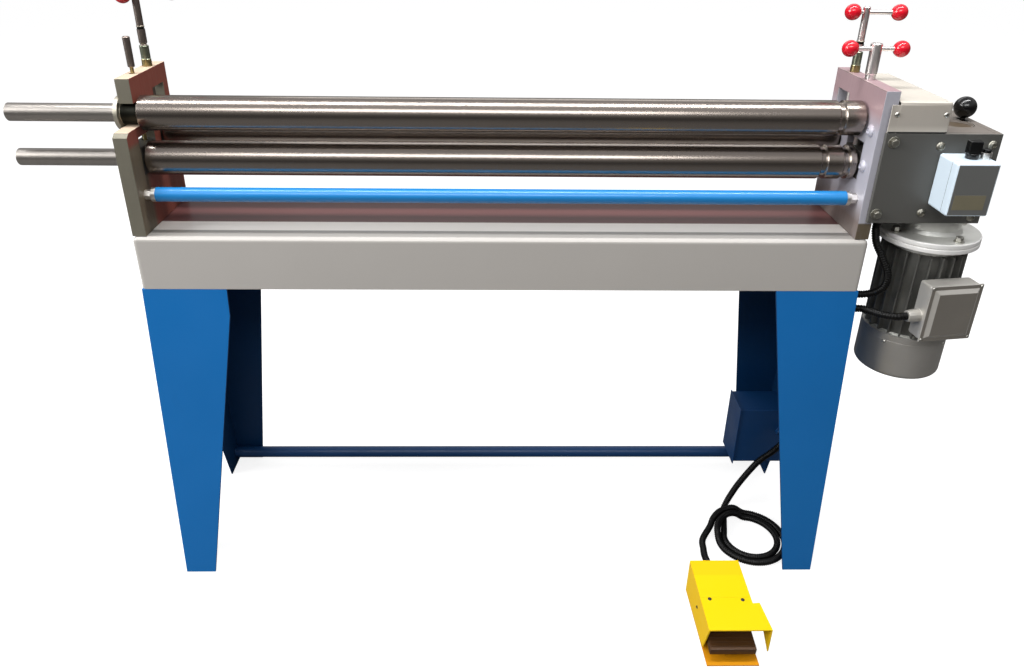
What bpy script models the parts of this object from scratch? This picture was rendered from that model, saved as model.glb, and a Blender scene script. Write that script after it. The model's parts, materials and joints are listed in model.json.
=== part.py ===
"""Electric three-roll plate rolling machine on two sheet-metal pedestals, with a foot switch.

Metres, +Z up. X runs along the rolls, +Y points away from the operator, the floor is Z = 0.
The machine frame has its zero midway between the side frames, under the top roll's axis, and the
whole machine hangs from an empty that puts the middle of its footprint on the world's origin.
"""
import math

import bmesh
import bpy
import numpy as np
from mathutils import Matrix, Vector

# Clearances
SEAT = 0.0003
RUN = 0.0004
SLIDE_PLAY = 0.0006
PAST = 0.010
CHAMFER = 0.001

# Side frames
INNER_WIDTH = 1.330
FRAME_T = 0.026
FRAME_FRONT = -0.073
FRAME_BACK = 0.150
FRAME_TOP = 1.047
CHEEK_Z = 0.954
HEAD_FRONT = -0.021
LIP_SLOPE = 1.5
HALF = INNER_WIDTH / 2
FRAME_OUT = HALF + FRAME_T
FRAME_MID = HALF + FRAME_T / 2

# Rolls
ROLL_D = 0.064
ROLL_R = ROLL_D / 2
ROLL_CHAMFER = 0.002
TOP_Z = 0.982
ROLL_GAP = 0.020
LOWER_Z = TOP_Z - ROLL_D - ROLL_GAP
CLOSED_GAP = 0.002
LOWER_TRAVEL = ROLL_GAP - CLOSED_GAP
REAR_Y = 0.100
REAR_Z = 0.925
REAR_TRAVEL = 0.060
END_PLAY = 0.0045
JOURNAL_R = 0.016
STUB_R = 0.0165
STUB_L = 0.212
STUB_LEFT = FRAME_OUT + STUB_L
KEYED_R = 0.012
GROOVE_W = 0.013
GROOVE_DEPTH = 0.004
GROOVE_SIDE = 0.003
TOP_GROOVE_IN = 0.0355
LOWER_GROOVES_IN = (0.0125, 0.0545)

# Bearings of the rolls
BUSH_R = 0.0205
BUSH_FLANGE_R = 0.031
BUSH_FLANGE_T = 0.008
FLANGE_PLAY = 0.0025
BARREL_R = 0.021
BARREL_HALF = 0.011
BLOCK_HALF = 0.026
BLOCK_T = FRAME_T
BLOCK_BACK = 0.045

# Adjusting screws
FRONT_SCREW_Y = 0.030
FRONT_SCREW_R = 0.0060
FRONT_KNOB_R = 0.0105
LEFT_PIN_R = 0.0065
FRONT_STAND = 0.065
FRONT_TOP_Z = FRAME_TOP + FRONT_STAND
REAR_SCREW_R = 0.0065
REAR_STAND = 0.120
REAR_TOP_Z = FRAME_TOP + REAR_STAND
NUT_R = 0.0095
NUT_H = 0.038
SOCKET_DEEP = 0.006
BALL_R = 0.0150
BAR_R = 0.0040
FRONT_BAR_HALF = 0.047
REAR_BAR_HALF = 0.044
REAR_BAR_SHIFT = 0.019
LEFT_REAR_RAISED = 0.019
LEFT_REAR_SHIFT = 0.022
LEFT_REAR_TURN = math.radians(40)
BAR_DOWN = 0.010

# Bed and tie rod
BED_PAST = 0.001
BED_HALF = FRAME_OUT + BED_PAST
BED_FRONT = -0.079
BED_BACK = 0.206
BED_TOP = 0.768
BED_H = 0.106
BED_SHEET = 0.003
BED_ROUND = 0.008
ROD_R = 0.0135
ROD_Y = -0.042
ROD_Z = 0.840
ROD_NUT_R = 0.0100
ROD_NUT_T = 0.012

# Pedestals
LEG_SHEET = 0.003
LEG_TOP_W = 0.162
LEG_FOOT_W = 0.063
LEG_TOP_IN = BED_HALF - LEG_TOP_W
LEG_FOOT_IN = BED_HALF - LEG_FOOT_W
LEG_BACK_W = 0.152
LEG_BACK_IN = BED_HALF - LEG_BACK_W
LEG_STRAIGHT = 0.054
FOOT_FRONT = -0.145
FOOT_BACK = 0.260
ARCH_TOP = 0.200
ARCH_FOOT = 0.070
ARCH_HEAD = 0.130
TUBE_R = 0.014
TUBE_WALL = 0.002
TUBE_Z = 0.033
SHELF_Z = BED_TOP - BED_H - SEAT

# Gear case
CASE_FRONT = FRAME_FRONT - SEAT
CASE_BACK = 0.180
CASE_PLATE = 0.008
CASE_LAP = 0.014
CASE_W = 0.210
CASE_LEFT = FRAME_OUT - CASE_LAP
CASE_RIGHT = CASE_LEFT + CASE_W
CASE_BOTTOM = 0.805
CASE_TOP = 0.975
CASE_WALL = 0.012
CASE_LID = 0.010
CAP_R = 0.031
CAP_DEEP = 0.005
MIDDLE_IN = 0.095
MIDDLE_X = CASE_LEFT + MIDDLE_IN
COVER_TOP = 1.031
COVER_SHEET = 0.002
COVER_ROUND = 0.006
MIDDLE_PLATE_DOWN = 0.020

# Gears
MODULE = 0.006
TEETH = 11
GEAR_R = MODULE * TEETH / 2
ADDENDUM = 0.005
DEDENDUM = 0.0085
TOOTH_TIP = 0.0032
TOOTH_ROOT = 0.0090
GEAR_GAP = 0.003
GEAR_X = FRAME_OUT + GEAR_GAP
GEAR_T = 0.014
IDLER_T = 0.012
IDLER_PLANE = GEAR_X + GEAR_T + GEAR_GAP
SHAFT_R = 0.010

# Worm drive
MOTOR_IN = 0.047
MOTOR_X = CASE_RIGHT - MOTOR_IN
MOTOR_Y = -0.006
WORM_R = 0.016
WORM_MODULE = 0.004
WHEEL_TEETH = 20
WHEEL_T = 0.014
WHEEL_R = WORM_MODULE * WHEEL_TEETH / 2
WORM_PITCH = math.pi * WORM_MODULE
WORM_HALF = 0.024
THREAD_TIP = 0.08
THREAD_ROOT = 0.26
WHEEL_TIP = 0.0018
WHEEL_ROOT = 0.0048

# Motor
FLANGE_R = 0.094
FLANGE_T = 0.010
ADAPTER_T = 0.010
ADAPTER_BORE = 0.042
FLANGE_DOWN = 0.037
FLANGE_TOP = CASE_BOTTOM - FLANGE_DOWN
NECK_R = 0.055
BODY_R = 0.067
FIN_R = 0.079
FINS = 22
FIN_T = 0.0035
BODY_H = 0.176
BELL_H = 0.022
RIM_DOWN = 0.003
RIM_H = 0.008
BELL_R = 0.055
COWL_R = 0.083
COWL_H = 0.094
COWL_SHEET = 0.002
COWL_ROUND = 0.010
COWL_HOLE = 0.020
STATOR_R = 0.052
ROTOR_R = 0.045
ROTOR_H = 0.110
MOTOR_SHAFT_R = 0.010
SHAFT_CLEAR = 0.008
FAN_R = 0.066
FAN_T = 0.016
FAN_BLADES = 7
FAN_HUB_R = 0.018
FAN_GAP = 0.004
NECK_GAP = 0.014

# Terminal box of the motor
TERM_W = 0.104
TERM_H = 0.114
TERM_D = 0.036
TERM_LID = 0.010
TERM_LIP = 0.002
TERM_DOWN = 0.130
TERM_Z = FLANGE_TOP - TERM_DOWN
TERM_WALL = 0.005
TERM_TURN = math.radians(8)
GLAND_R = 0.013
GLAND_L = 0.024
GLAND_DOWN = 0.012

# Switch box on the gear case
SWITCH_W = 0.076
SWITCH_H = 0.097
SWITCH_D = 0.066
SWITCH_IN = 0.069
SWITCH_X = CASE_RIGHT - SWITCH_IN
SWITCH_Z = 0.892
SWITCH_WALL = 0.004
SWITCH_ROUND = 0.005
SELECTOR_R = 0.011
SELECTOR_H = 0.026
GRIP_W = 0.009
GRIP_H = 0.012
BUTTON_R = 0.0075
BUTTON_H = 0.018
BUTTON_TRAVEL = 0.004
SELECTOR_SIDE = 0.0015
BUTTON_SIDE = 0.0255
SELECTOR_X = SWITCH_X + SELECTOR_SIDE
BUTTON_X = SWITCH_X + BUTTON_SIDE
STEM_R = 0.004
STEM_L = 0.012

# Lever with the black ball
LEVER_IN = 0.020
LEVER_X = CASE_RIGHT - LEVER_IN
LEVER_Y = 0.024
LEVER_BALL_R = 0.020
LEVER_BALL_Z = 0.998
LEVER_R = 0.005
LEVER_HUB_R = 0.012
LEVER_HUB_HALF = 0.006
LEVER_HUB_Z = 0.945
LEVER_ANGLE = math.radians(14)

# Electrical box in the right pedestal
EBOX_W = 0.118
EBOX_D = 0.084
EBOX_H = 0.150
EBOX_Z = 0.105
EBOX_SHEET = 0.0025
EBOX_BACK = 0.190
EBOX_LIP = 0.004

# Foot switch
PEDAL_LEFT = 0.400
PEDAL_W = 0.103
PEDAL_FRONT = -0.394
PEDAL_BACK = -0.200
TRAY_T = 0.003
GUARD_SHEET = 0.003
GUARD_H = 0.084
MOUTH_H = 0.077
MOUTH_Y = -0.375
MOUTH_FOOT_Y = -0.352
FLARE_Y = -0.311
FLARE_STEP = 0.014
FLARE_OUT = 0.021
FLAP_LOW = 0.018
TREADLE_T = 0.016
TREADLE_GAP = 0.003
TREADLE_FRONT = -0.384
TREADLE_ANGLE = math.radians(6)
TREADLE_PIN_R = 0.004
TREADLE_PIN_Y = -0.236
TREADLE_Z = 0.042

# Ribbed hoses
HOSE_R = 0.0077
HOSE_ROOT = 0.84
HOSE_BORE = 0.0050
HOSE_GLAND_R = 0.011
HOSE_GLAND_L = 0.012
PEDAL_RIBS = 39
SWITCH_RIBS = 16
MOTOR_RIBS = 11
EXIT_IN = 0.020
BOX_EXIT = (BED_HALF - EXIT_IN, EBOX_BACK - EBOX_D)
EXIT_Z = 0.195
EXIT_BENDS = ((-0.006, -0.0395, 0.190), (-0.027, -0.044, 0.168), (-0.058, -0.043, 0.135),
              (-0.091, -0.042, 0.076), (-0.110, -0.0445, 0.036), (-0.121, -0.051, 0.015))
LAID = (-0.1275, -0.062)
LOOP_CENTRE = (0.578, -0.053)
LOOP_R = 0.056
LOOP_STEP = 0.0165
LOOP_START = 160
LOOP_TURNS = 2
LOOP_POINTS = 24
CROSSING_RAMP = 0.032
PEDAL_ENTRY_Z = 0.040
GLAND_LEAD = 0.022
MOTOR_WALL = (-0.066, 0.618)
MOTOR_BENDS = ((0.0447, -0.038, 0.006), (0.0317, -0.018, 0.003), (0.0197, -0.003, 0.001), (0.0097, 0, 0))
SWITCH_EXIT = (0.0197, -0.050)
SWITCH_WALL_AT = (-0.056, 0.645)
SWITCH_BENDS = ((0.0207, 0.005, 0.1297), (0.0257, 0.001, 0.108), (0.0387, -0.008, 0.082),
                (0.0527, -0.015, 0.050), (0.0517, -0.014, 0.023), (0.0377, -0.007, 0.007),
                (0.0187, -0.001, 0), (0.0097, 0, 0))

PALE = ("pale_paint", (0.66, 0.65, 0.62), 0.35, 0.0)
BLUE = ("blue_paint", (0.02, 0.16, 0.42), 0.38, 0.0)
STEEL = ("ground_steel", (0.48, 0.47, 0.44), 0.22, 1.0)
IRON = ("machined_iron", (0.30, 0.29, 0.27), 0.45, 0.9)
GREY = ("grey_paint", (0.21, 0.22, 0.22), 0.40, 0.0)
BRONZE = ("bronze", (0.45, 0.30, 0.14), 0.40, 0.9)
ZINC = ("zinc_plate", (0.55, 0.55, 0.53), 0.35, 0.9)
RED = ("red_ball", (0.55, 0.02, 0.03), 0.20, 0.0)
BLACK = ("black_plastic", (0.015, 0.015, 0.016), 0.35, 0.0)
SILVER = ("silver_paint", (0.38, 0.38, 0.37), 0.40, 0.3)
MIST = ("mist_paint", (0.42, 0.50, 0.56), 0.40, 0.0)
YELLOW = ("yellow_paint", (0.80, 0.56, 0.01), 0.40, 0.0)
RUBBER = ("black_hose", (0.012, 0.012, 0.012), 0.55, 0.0)


def clear_scene():
    for obj in list(bpy.data.objects):
        bpy.data.objects.remove(obj, do_unlink=True)


def collection(name):
    made = bpy.data.collections.new(name)
    bpy.context.scene.collection.children.link(made)
    return made


clear_scene()
PARTS = collection("plate_rolling_machine")
CUTTERS = collection("cutters")
MATERIALS = {}

# The footprint's middle, from the outermost pieces
MOTOR_FAR = MOTOR_X + FLANGE_R
MIDDLE = Vector(((MOTOR_FAR - STUB_LEFT) / 2, (FOOT_BACK + PEDAL_FRONT) / 2, 0))
MACHINE = bpy.data.objects.new("machine", None)
PARTS.objects.link(MACHINE)
MACHINE["place"] = Vector()
MACHINE.location = -MIDDLE


def material(spec):
    name, colour, rough, metal = spec
    if name not in MATERIALS:
        mat = bpy.data.materials.new(name)
        mat.use_nodes = True
        shader = mat.node_tree.nodes["Principled BSDF"]
        shader.inputs["Base Color"].default_value = (*colour, 1)
        shader.inputs["Roughness"].default_value = rough
        shader.inputs["Metallic"].default_value = metal
        MATERIALS[name] = mat
    return MATERIALS[name]


def pivot(name, at, parent):
    """An empty on a joint's axis, placed in the machine frame."""
    empty = bpy.data.objects.new(name, None)
    PARTS.objects.link(empty)
    empty.parent = parent
    empty.location = Vector(at) - Vector(parent["place"])
    empty["place"] = Vector(at)
    return empty


def new_object(name, mesh, spec, parent, at=(0, 0, 0), turn=None):
    """A node of the machine: its mesh is given about the point at, in the machine frame."""
    obj = bpy.data.objects.new(name, mesh)
    PARTS.objects.link(obj)
    mesh.materials.append(material(spec))
    obj.parent = parent
    offset = Vector(parent["place"])
    obj.matrix_local = Matrix.Translation(Vector(at) - offset) @ (turn or Matrix.Identity(4))
    return obj


def mesh_from(bm, name):
    bmesh.ops.recalc_face_normals(bm, faces=bm.faces)
    mesh = bpy.data.meshes.new(name)
    bm.to_mesh(mesh)
    bm.free()
    return mesh


def box_mesh(name, size, centre=(0, 0, 0), bevel=0, segments=2, flat_back=False):
    bm = bmesh.new()
    bmesh.ops.create_cube(bm, size=1, matrix=Matrix.Translation(centre) @ Matrix.Diagonal((*size, 1)))
    if bevel:
        back = max(v.co.y for v in bm.verts) - bevel
        edges = [e for e in bm.edges if not (flat_back and all(v.co.y > back for v in e.verts))]
        bmesh.ops.bevel(bm, geom=edges, offset=bevel, segments=segments, affect="EDGES", profile=0.5)
    return mesh_from(bm, name)


def block(name, low, high, spec, parent, bevel=0):
    """A box between two corners, in the machine frame."""
    low, high = Vector(low), Vector(high)
    return new_object(name, box_mesh(name, high - low, bevel=bevel), spec, parent, (low + high) / 2)


# Turns a shape that stands along Z to lie along X, or along Y
AXIS_X = Matrix.Rotation(math.pi / 2, 4, "Y")
AXIS_Y = Matrix.Rotation(-math.pi / 2, 4, "X")


def turned(name, profile, spec, parent, at, turn=None, sides=32):
    """A Screw modifier turns the profile, (z, radius) pairs from the top down the outer side."""
    bm = bmesh.new()
    verts = [bm.verts.new((radius, 0, z)) for z, radius in profile]
    pairs = list(zip(verts, verts[1:]))
    if profile[0][1] and profile[-1][1]:
        pairs.append((verts[-1], verts[0]))
    for pair in pairs:
        bm.edges.new(pair)
    mesh = bpy.data.meshes.new(name)
    bm.to_mesh(mesh)
    bm.free()
    obj = new_object(name, mesh, spec, parent, at, turn)
    screw = obj.modifiers.new("turning", "SCREW")
    screw.axis = "Z"
    screw.angle = 2 * math.pi
    screw.steps = sides
    screw.render_steps = sides
    screw.use_merge_vertices = True
    screw.merge_threshold = 0.00001
    screw.use_smooth_shade = False
    return obj


def rod(radius, top, low):
    """Solid profile of one radius."""
    return [(top, 0), (top, radius), (low, radius), (low, 0)]


def steps(stations):
    """Solid profile from (z, radius) stations given from the top down."""
    return [(stations[0][0], 0)] + list(stations) + [(stations[-1][0], 0)]


def sleeve(outer, inner, top, bottom):
    return [(top, inner), (top, outer), (bottom, outer), (bottom, inner)]


def ball_rows(centre, radius, first, last, count):
    """Stations down a sphere, between two angles in degrees from its top."""
    angles = [math.radians(a) for a in np.linspace(first, last, count)]
    return [(centre + radius * math.cos(a), radius * math.sin(a)) for a in angles]


def circle_points(radius, centre=(0, 0), sides=28):
    turn = [2 * math.pi * k / sides for k in range(sides)]
    return [(centre[0] + radius * math.cos(t), centre[1] + radius * math.sin(t)) for t in turn]


def arc(centre, radius, start, end, count=10):
    angles = [math.radians(start + (end - start) * k / count) for k in range(count + 1)]
    return [(centre[0] + radius * math.cos(a), centre[1] + radius * math.sin(a)) for a in angles]


def curve_mesh(name, curve):
    """The solid that a curve makes, its caps welded on."""
    obj = bpy.data.objects.new(name, curve)
    bpy.context.scene.collection.objects.link(obj)
    graph = bpy.context.evaluated_depsgraph_get()
    mesh = bpy.data.meshes.new_from_object(obj.evaluated_get(graph))
    bpy.data.objects.remove(obj)
    bpy.data.curves.remove(curve)
    bm = bmesh.new()
    bm.from_mesh(mesh)
    bmesh.ops.remove_doubles(bm, verts=bm.verts, dist=0.000001)
    bpy.data.meshes.remove(mesh)
    return mesh_from(bm, name)


def plate_mesh(name, outline, thickness, holes=()):
    """A flat outline with holes, filled as a 2D curve and made a solid mesh about Z = 0."""
    curve = bpy.data.curves.new(name, "CURVE")
    curve.dimensions = "2D"
    curve.fill_mode = "BOTH"
    curve.extrude = thickness / 2
    for points in (outline, *holes):
        spline = curve.splines.new("POLY")
        spline.points.add(len(points) - 1)
        for point, (x, y) in zip(spline.points, points):
            point.co = (x, y, 0, 1)
        spline.use_cyclic_u = True
    return curve_mesh(name, curve)


# Turns the plate's drawing plane (x, y, thickness) to (Y, Z, X)
SIDE_ON = Matrix(((0, 0, 1, 0), (1, 0, 0, 0), (0, 1, 0, 0), (0, 0, 0, 1)))


def side_plate(name, outline, x, thickness, spec, parent, holes=()):
    """A plate drawn in (Y, Z), its middle at x."""
    return new_object(name, plate_mesh(name, outline, thickness, holes), spec, parent, (x, 0, 0), SIDE_ON)


def put_away(obj):
    PARTS.objects.unlink(obj)
    CUTTERS.objects.link(obj)
    obj.hide_render = True
    obj.display_type = "WIRE"
    return obj


def cutter(name, mesh, at=(0, 0, 0), turn=None):
    return put_away(new_object(name, mesh, IRON, MACHINE, at, turn))


def drill(name, radius, top, low, at, turn=None, sides=20):
    return put_away(turned(name, rod(radius, top, low), IRON, MACHINE, at, turn, sides))


def combine(target, tool, operation="DIFFERENCE"):
    change = target.modifiers.new(operation.lower(), "BOOLEAN")
    change.operation = operation
    change.solver = "EXACT"
    change.object = tool


def fuse(target, piece):
    """Makes a finished piece a solid part of another."""
    combine(target, put_away(piece), "UNION")


def sheet_of(obj, thickness):
    sheet = obj.modifiers.new("sheet", "SOLIDIFY")
    sheet.thickness = thickness
    sheet.offset = 0
    sheet.use_even_offset = True


def gear_outline(teeth, pitch_r, addendum, dedendum, tip, root, phase):
    """Straight-flanked teeth, the first one centred on the angle phase."""
    points = []
    tip_r, root_r = pitch_r + addendum, pitch_r - dedendum
    for k in range(teeth):
        middle = phase + 2 * math.pi * k / teeth
        half_root = root / 2 / root_r
        half_tip = tip / 2 / tip_r
        for angle, radius in ((-half_root, root_r), (-half_tip, tip_r), (half_tip, tip_r),
                              (half_root, root_r)):
            points.append((radius * math.cos(middle + angle), radius * math.sin(middle + angle)))
    return points


def smooth_path(points, count):
    """Points at equal steps along a Catmull-Rom curve through the chosen points, and its length."""
    given = [Vector(p) for p in points]
    given = [2 * given[0] - given[1]] + given + [2 * given[-1] - given[-2]]
    fine = []
    for p0, p1, p2, p3 in zip(given, given[1:], given[2:], given[3:]):
        for k in range(16):
            t = k / 16
            fine.append(0.5 * (2 * p1 + (p2 - p0) * t + (2 * p0 - 5 * p1 + 4 * p2 - p3) * t ** 2
                               + (3 * p1 - p0 - 3 * p2 + p3) * t ** 3))
    fine.append(given[-2])
    reach = [0.0]
    for a, b in zip(fine, fine[1:]):
        reach.append(reach[-1] + (b - a).length)
    want = np.linspace(0, reach[-1], count)
    columns = [np.interp(want, reach, [p[i] for p in fine]) for i in range(3)]
    return [Vector(p) for p in zip(*columns)], reach[-1]


def tube_mesh(name, path, radius, shares, resolution):
    curve = bpy.data.curves.new(name, "CURVE")
    curve.dimensions = "3D"
    curve.bevel_depth = radius
    curve.bevel_resolution = resolution
    curve.use_fill_caps = True
    spline = curve.splines.new("POLY")
    spline.points.add(len(path) - 1)
    for point, place, share in zip(spline.points, path, shares):
        point.co = (*place, 1)
        point.radius = share
    return curve_mesh(name, curve)


def hose(name, points, ribs):
    """Ribbed hose: each rib is a crest and a root along the path, and a plainer tube is its bore."""
    path, length = smooth_path(points, 2 * ribs + 1)
    shares = [1 if k % 2 == 0 else HOSE_ROOT for k in range(len(path))]
    obj = new_object(name, tube_mesh(name, path, HOSE_R, shares, 2), RUBBER, MACHINE)
    inner = path[::2]
    inner[0] = inner[0] + (inner[0] - inner[1]).normalized() * CHAMFER
    inner[-1] = inner[-1] + (inner[-1] - inner[-2]).normalized() * CHAMFER
    bore = tube_mesh(name + "_bore", inner, HOSE_BORE, [1] * len(inner), 1)
    combine(obj, cutter(name + "_bore", bore))
    places = np.array([tuple(p) for p in path])
    apart = np.linalg.norm(places[:, None] - places[None], axis=2)
    step = length / (len(path) - 1)
    index = np.arange(len(path))
    far = abs(index[:, None] - index[None]) * step > 8 * HOSE_R
    gap = f", least gap to itself {1000 * (apart[far].min() - 2 * HOSE_R):.1f} mm" if far.any() else ""
    print(f"{name}: {length:.3f} m, {ribs} ribs{gap}")


def pedestal(name, side, straight):
    """Folded sheet: front flange, straight at first, outer wall with its arch, rear flange, top shelf."""
    half_sheet = LEG_SHEET / 2
    out = side * (BED_HALF - half_sheet)
    top = SHELF_Z - half_sheet
    front_top, back_top = BED_FRONT + half_sheet, BED_BACK - half_sheet
    front_foot, back_foot = FOOT_FRONT + half_sheet, FOOT_BACK - half_sheet

    def wall(front, z):
        share = (top - z) / top
        start, end = (front_top, front_foot) if front else (back_top, back_foot)
        return start + (end - start) * share

    bm = bmesh.new()

    def flange(front):
        top_in = side * (LEG_TOP_IN if front else LEG_BACK_IN)
        kink = [(top_in, top - straight)] if front and straight else []
        rows = [(out, top), (top_in, top), *kink, (side * LEG_FOOT_IN, 0), (out, 0)]
        return [bm.verts.new((x, wall(front, z), z)) for x, z in rows]

    near, far = flange(True), flange(False)
    middle = (front_top + back_top) / 2
    arch = ((wall(True, 0) + ARCH_FOOT, 0), (middle - ARCH_HEAD / 2, ARCH_TOP),
            (middle + ARCH_HEAD / 2, ARCH_TOP), (wall(False, 0) - ARCH_FOOT, 0))
    arch_verts = [bm.verts.new((out, y, z)) for y, z in arch]
    bm.faces.new(near)
    bm.faces.new(far)
    bm.faces.new([near[0], near[-1], *arch_verts, far[-1], far[0]])
    bm.faces.new([near[0], near[1], far[1], far[0]])
    obj = new_object(name, mesh_from(bm, name), BLUE, MACHINE)
    sheet_of(obj, LEG_SHEET)
    floor = cutter(name + "_floor", box_mesh("floor", (1, 2, 0.1), (0, 0, -0.05)), (out, 0, 0))
    combine(obj, floor)


def stand():
    pedestal("left_pedestal", -1, LEG_STRAIGHT)
    pedestal("right_pedestal", 1, 0)
    reach = BED_HALF - LEG_SHEET - SEAT
    wall_y = (FOOT_BACK - LEG_SHEET) + (BED_BACK - FOOT_BACK) * (TUBE_Z + TUBE_R) / SHELF_Z
    turned("stretcher_tube", sleeve(TUBE_R, TUBE_R - TUBE_WALL, reach, -reach), BLUE, MACHINE,
           (0, wall_y - TUBE_R - SEAT, TUBE_Z), AXIS_X, sides=24)


def bed():
    """Folded box of sheet, open below."""
    bm = bmesh.new()
    inset = BED_SHEET / 2
    size = (2 * (BED_HALF - inset), BED_BACK - BED_FRONT - BED_SHEET, BED_H - inset)
    centre = (0, (BED_FRONT + BED_BACK) / 2, BED_TOP - inset - size[2] / 2)
    bmesh.ops.create_cube(bm, size=1, matrix=Matrix.Translation(centre) @ Matrix.Diagonal((*size, 1)))
    low = min(bm.faces, key=lambda f: f.calc_center_median().z)
    bmesh.ops.delete(bm, geom=[low], context="FACES_ONLY")
    edges = [e for e in bm.edges if not e.is_boundary]
    bmesh.ops.bevel(bm, geom=edges, offset=BED_ROUND, segments=3, affect="EDGES", profile=0.5)
    sheet_of(new_object("bed", mesh_from(bm, "bed"), PALE, MACHINE), BED_SHEET)


def window(y, z, back, travel):
    """Where a roll's block slides up from its rest."""
    low, high = z - BLOCK_HALF - SEAT, z + BLOCK_HALF + travel + SLIDE_PLAY
    front, back = y - BLOCK_HALF - SLIDE_PLAY, y + back + SLIDE_PLAY
    return [(front, low), (back, low), (back, high), (front, high)]


def side_frame(name, side):
    slot_r = BUSH_R + RUN
    base = BED_TOP + SEAT
    holes = [window(0, LOWER_Z, BLOCK_BACK, LOWER_TRAVEL), window(REAR_Y, REAR_Z, BLOCK_HALF, REAR_TRAVEL)]
    outline = [(FRAME_FRONT, base), (FRAME_BACK, base), (FRAME_BACK, FRAME_TOP)]
    if side < 0:
        low = TOP_Z - slot_r
        outline += [(HEAD_FRONT, FRAME_TOP), (HEAD_FRONT, TOP_Z + slot_r)]
        outline += arc((0, TOP_Z), slot_r, 90, -90, 12)
        outline += [(FRAME_FRONT + (low - CHEEK_Z) * LIP_SLOPE, low), (FRAME_FRONT, CHEEK_Z)]
    else:
        outline.append((FRAME_FRONT, FRAME_TOP))
        holes.append(circle_points(BARREL_R + RUN, (0, TOP_Z)))
    obj = side_plate(name, outline, side * FRAME_MID, FRAME_T, IRON, MACHINE, holes)
    for end, radius, y, z in (("front", FRONT_SCREW_R, FRONT_SCREW_Y, LOWER_Z),
                              ("rear", REAR_SCREW_R, REAR_Y, REAR_Z)):
        at = (side * FRAME_MID, y, z)
        bore = drill(f"{name}_{end}_bore", radius + RUN, FRAME_TOP + PAST - z, BLOCK_HALF, at)
        combine(obj, bore)


def tie_rod():
    end = HALF - ROD_NUT_T
    turned("front_tie_rod", rod(ROD_R, end - SEAT, -end + SEAT), BLUE, MACHINE, (0, ROD_Y, ROD_Z), AXIS_X)
    for side, name in ((-1, "left_tie_nut"), (1, "right_tie_nut")):
        low, high = sorted((side * end, side * (HALF - SEAT)))
        turned(name, rod(ROD_NUT_R, high, low), BRONZE if side < 0 else ZINC, MACHINE, (0, ROD_Y, ROD_Z),
               AXIS_X, sides=6)


def barrel(face, grooves):
    """Stations of a roll's body from its right face leftwards, with grooves inward of the face."""
    rows = [(face, ROLL_R - ROLL_CHAMFER), (face - ROLL_CHAMFER, ROLL_R)]
    for inward in grooves:
        edge, deep = face - inward, ROLL_R - GROOVE_DEPTH
        rows += [(edge, ROLL_R), (edge - GROOVE_SIDE, deep), (edge - GROOVE_W + GROOVE_SIDE, deep),
                 (edge - GROOVE_W, ROLL_R)]
    return rows + [(-face + ROLL_CHAMFER, ROLL_R), (-face, ROLL_R - ROLL_CHAMFER)]


def gear(name, parent, at, width, bore, phase):
    outline = gear_outline(TEETH, GEAR_R, ADDENDUM, DEDENDUM, TOOTH_TIP, TOOTH_ROOT, phase)
    holes = [circle_points(bore + SEAT, sides=24)] if bore else []
    at = Vector(at) + Vector((width / 2, 0, 0))
    return new_object(name, plate_mesh(name, outline, width, holes), IRON, parent, at, SIDE_ON)


def top_roll():
    """The top roll turns in a barrel bush at the right and in a flanged bush in the open slot."""
    swing = pivot("top_roll_swing", (FRAME_MID, 0, TOP_Z), MACHINE)
    spin = pivot("top_roll_axis", (0, 0, TOP_Z), swing)
    face = HALF - END_PLAY
    width = IDLER_PLANE + IDLER_T - GEAR_X
    out = FRAME_OUT + FLANGE_PLAY + BUSH_FLANGE_T
    rows = [(GEAR_X + width, KEYED_R), (FRAME_OUT + CHAMFER, KEYED_R), (FRAME_OUT + CHAMFER, JOURNAL_R),
            (face, JOURNAL_R)] + barrel(face, (TOP_GROOVE_IN,))
    rows += [(-face, JOURNAL_R), (-out - RUN, JOURNAL_R), (-out - RUN, STUB_R), (-STUB_LEFT, STUB_R)]
    turned("top_roll", steps(rows), STEEL, spin, (0, 0, TOP_Z), AXIS_X)
    bore = JOURNAL_R + RUN
    rows = [(x, math.sqrt(BARREL_R ** 2 - x ** 2)) for x in np.linspace(BARREL_HALF, -BARREL_HALF, 5)]
    turned("top_roll_barrel_bush", [(BARREL_HALF, bore)] + rows + [(-BARREL_HALF, bore)], BRONZE, swing,
           (FRAME_MID, 0, TOP_Z), AXIS_X, sides=28)
    # the flange stands off the frame, so that it clears it as the roll swings out
    left = -FRAME_OUT - FLANGE_PLAY
    flange = [(-HALF - RUN, bore), (-HALF - RUN, BUSH_R), (left, BUSH_R), (left, BUSH_FLANGE_R),
              (-out + RUN, BUSH_FLANGE_R), (-out + RUN, bore)]
    turned("top_roll_flanged_bush", flange, BRONZE, swing, (0, 0, TOP_Z), AXIS_X)
    gear("top_gear", spin, (GEAR_X, 0, TOP_Z), width, KEYED_R, 0.0)


def roll_block(name, back, parent, at, screw_y, screw_r):
    """The bearing block of a roll, with a socket where its screw's foot turns."""
    outline = [(-BLOCK_HALF, -BLOCK_HALF), (back, -BLOCK_HALF), (back, BLOCK_HALF),
               (-BLOCK_HALF, BLOCK_HALF)]
    mesh = plate_mesh(name, outline, BLOCK_T, [circle_points(JOURNAL_R + RUN)])
    obj = new_object(name, mesh, IRON, parent, at, SIDE_ON)
    top = (at[0], screw_y, at[2] + BLOCK_HALF)
    combine(obj, drill(name + "_socket", screw_r + RUN, PAST, -SOCKET_DEEP, top))


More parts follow.
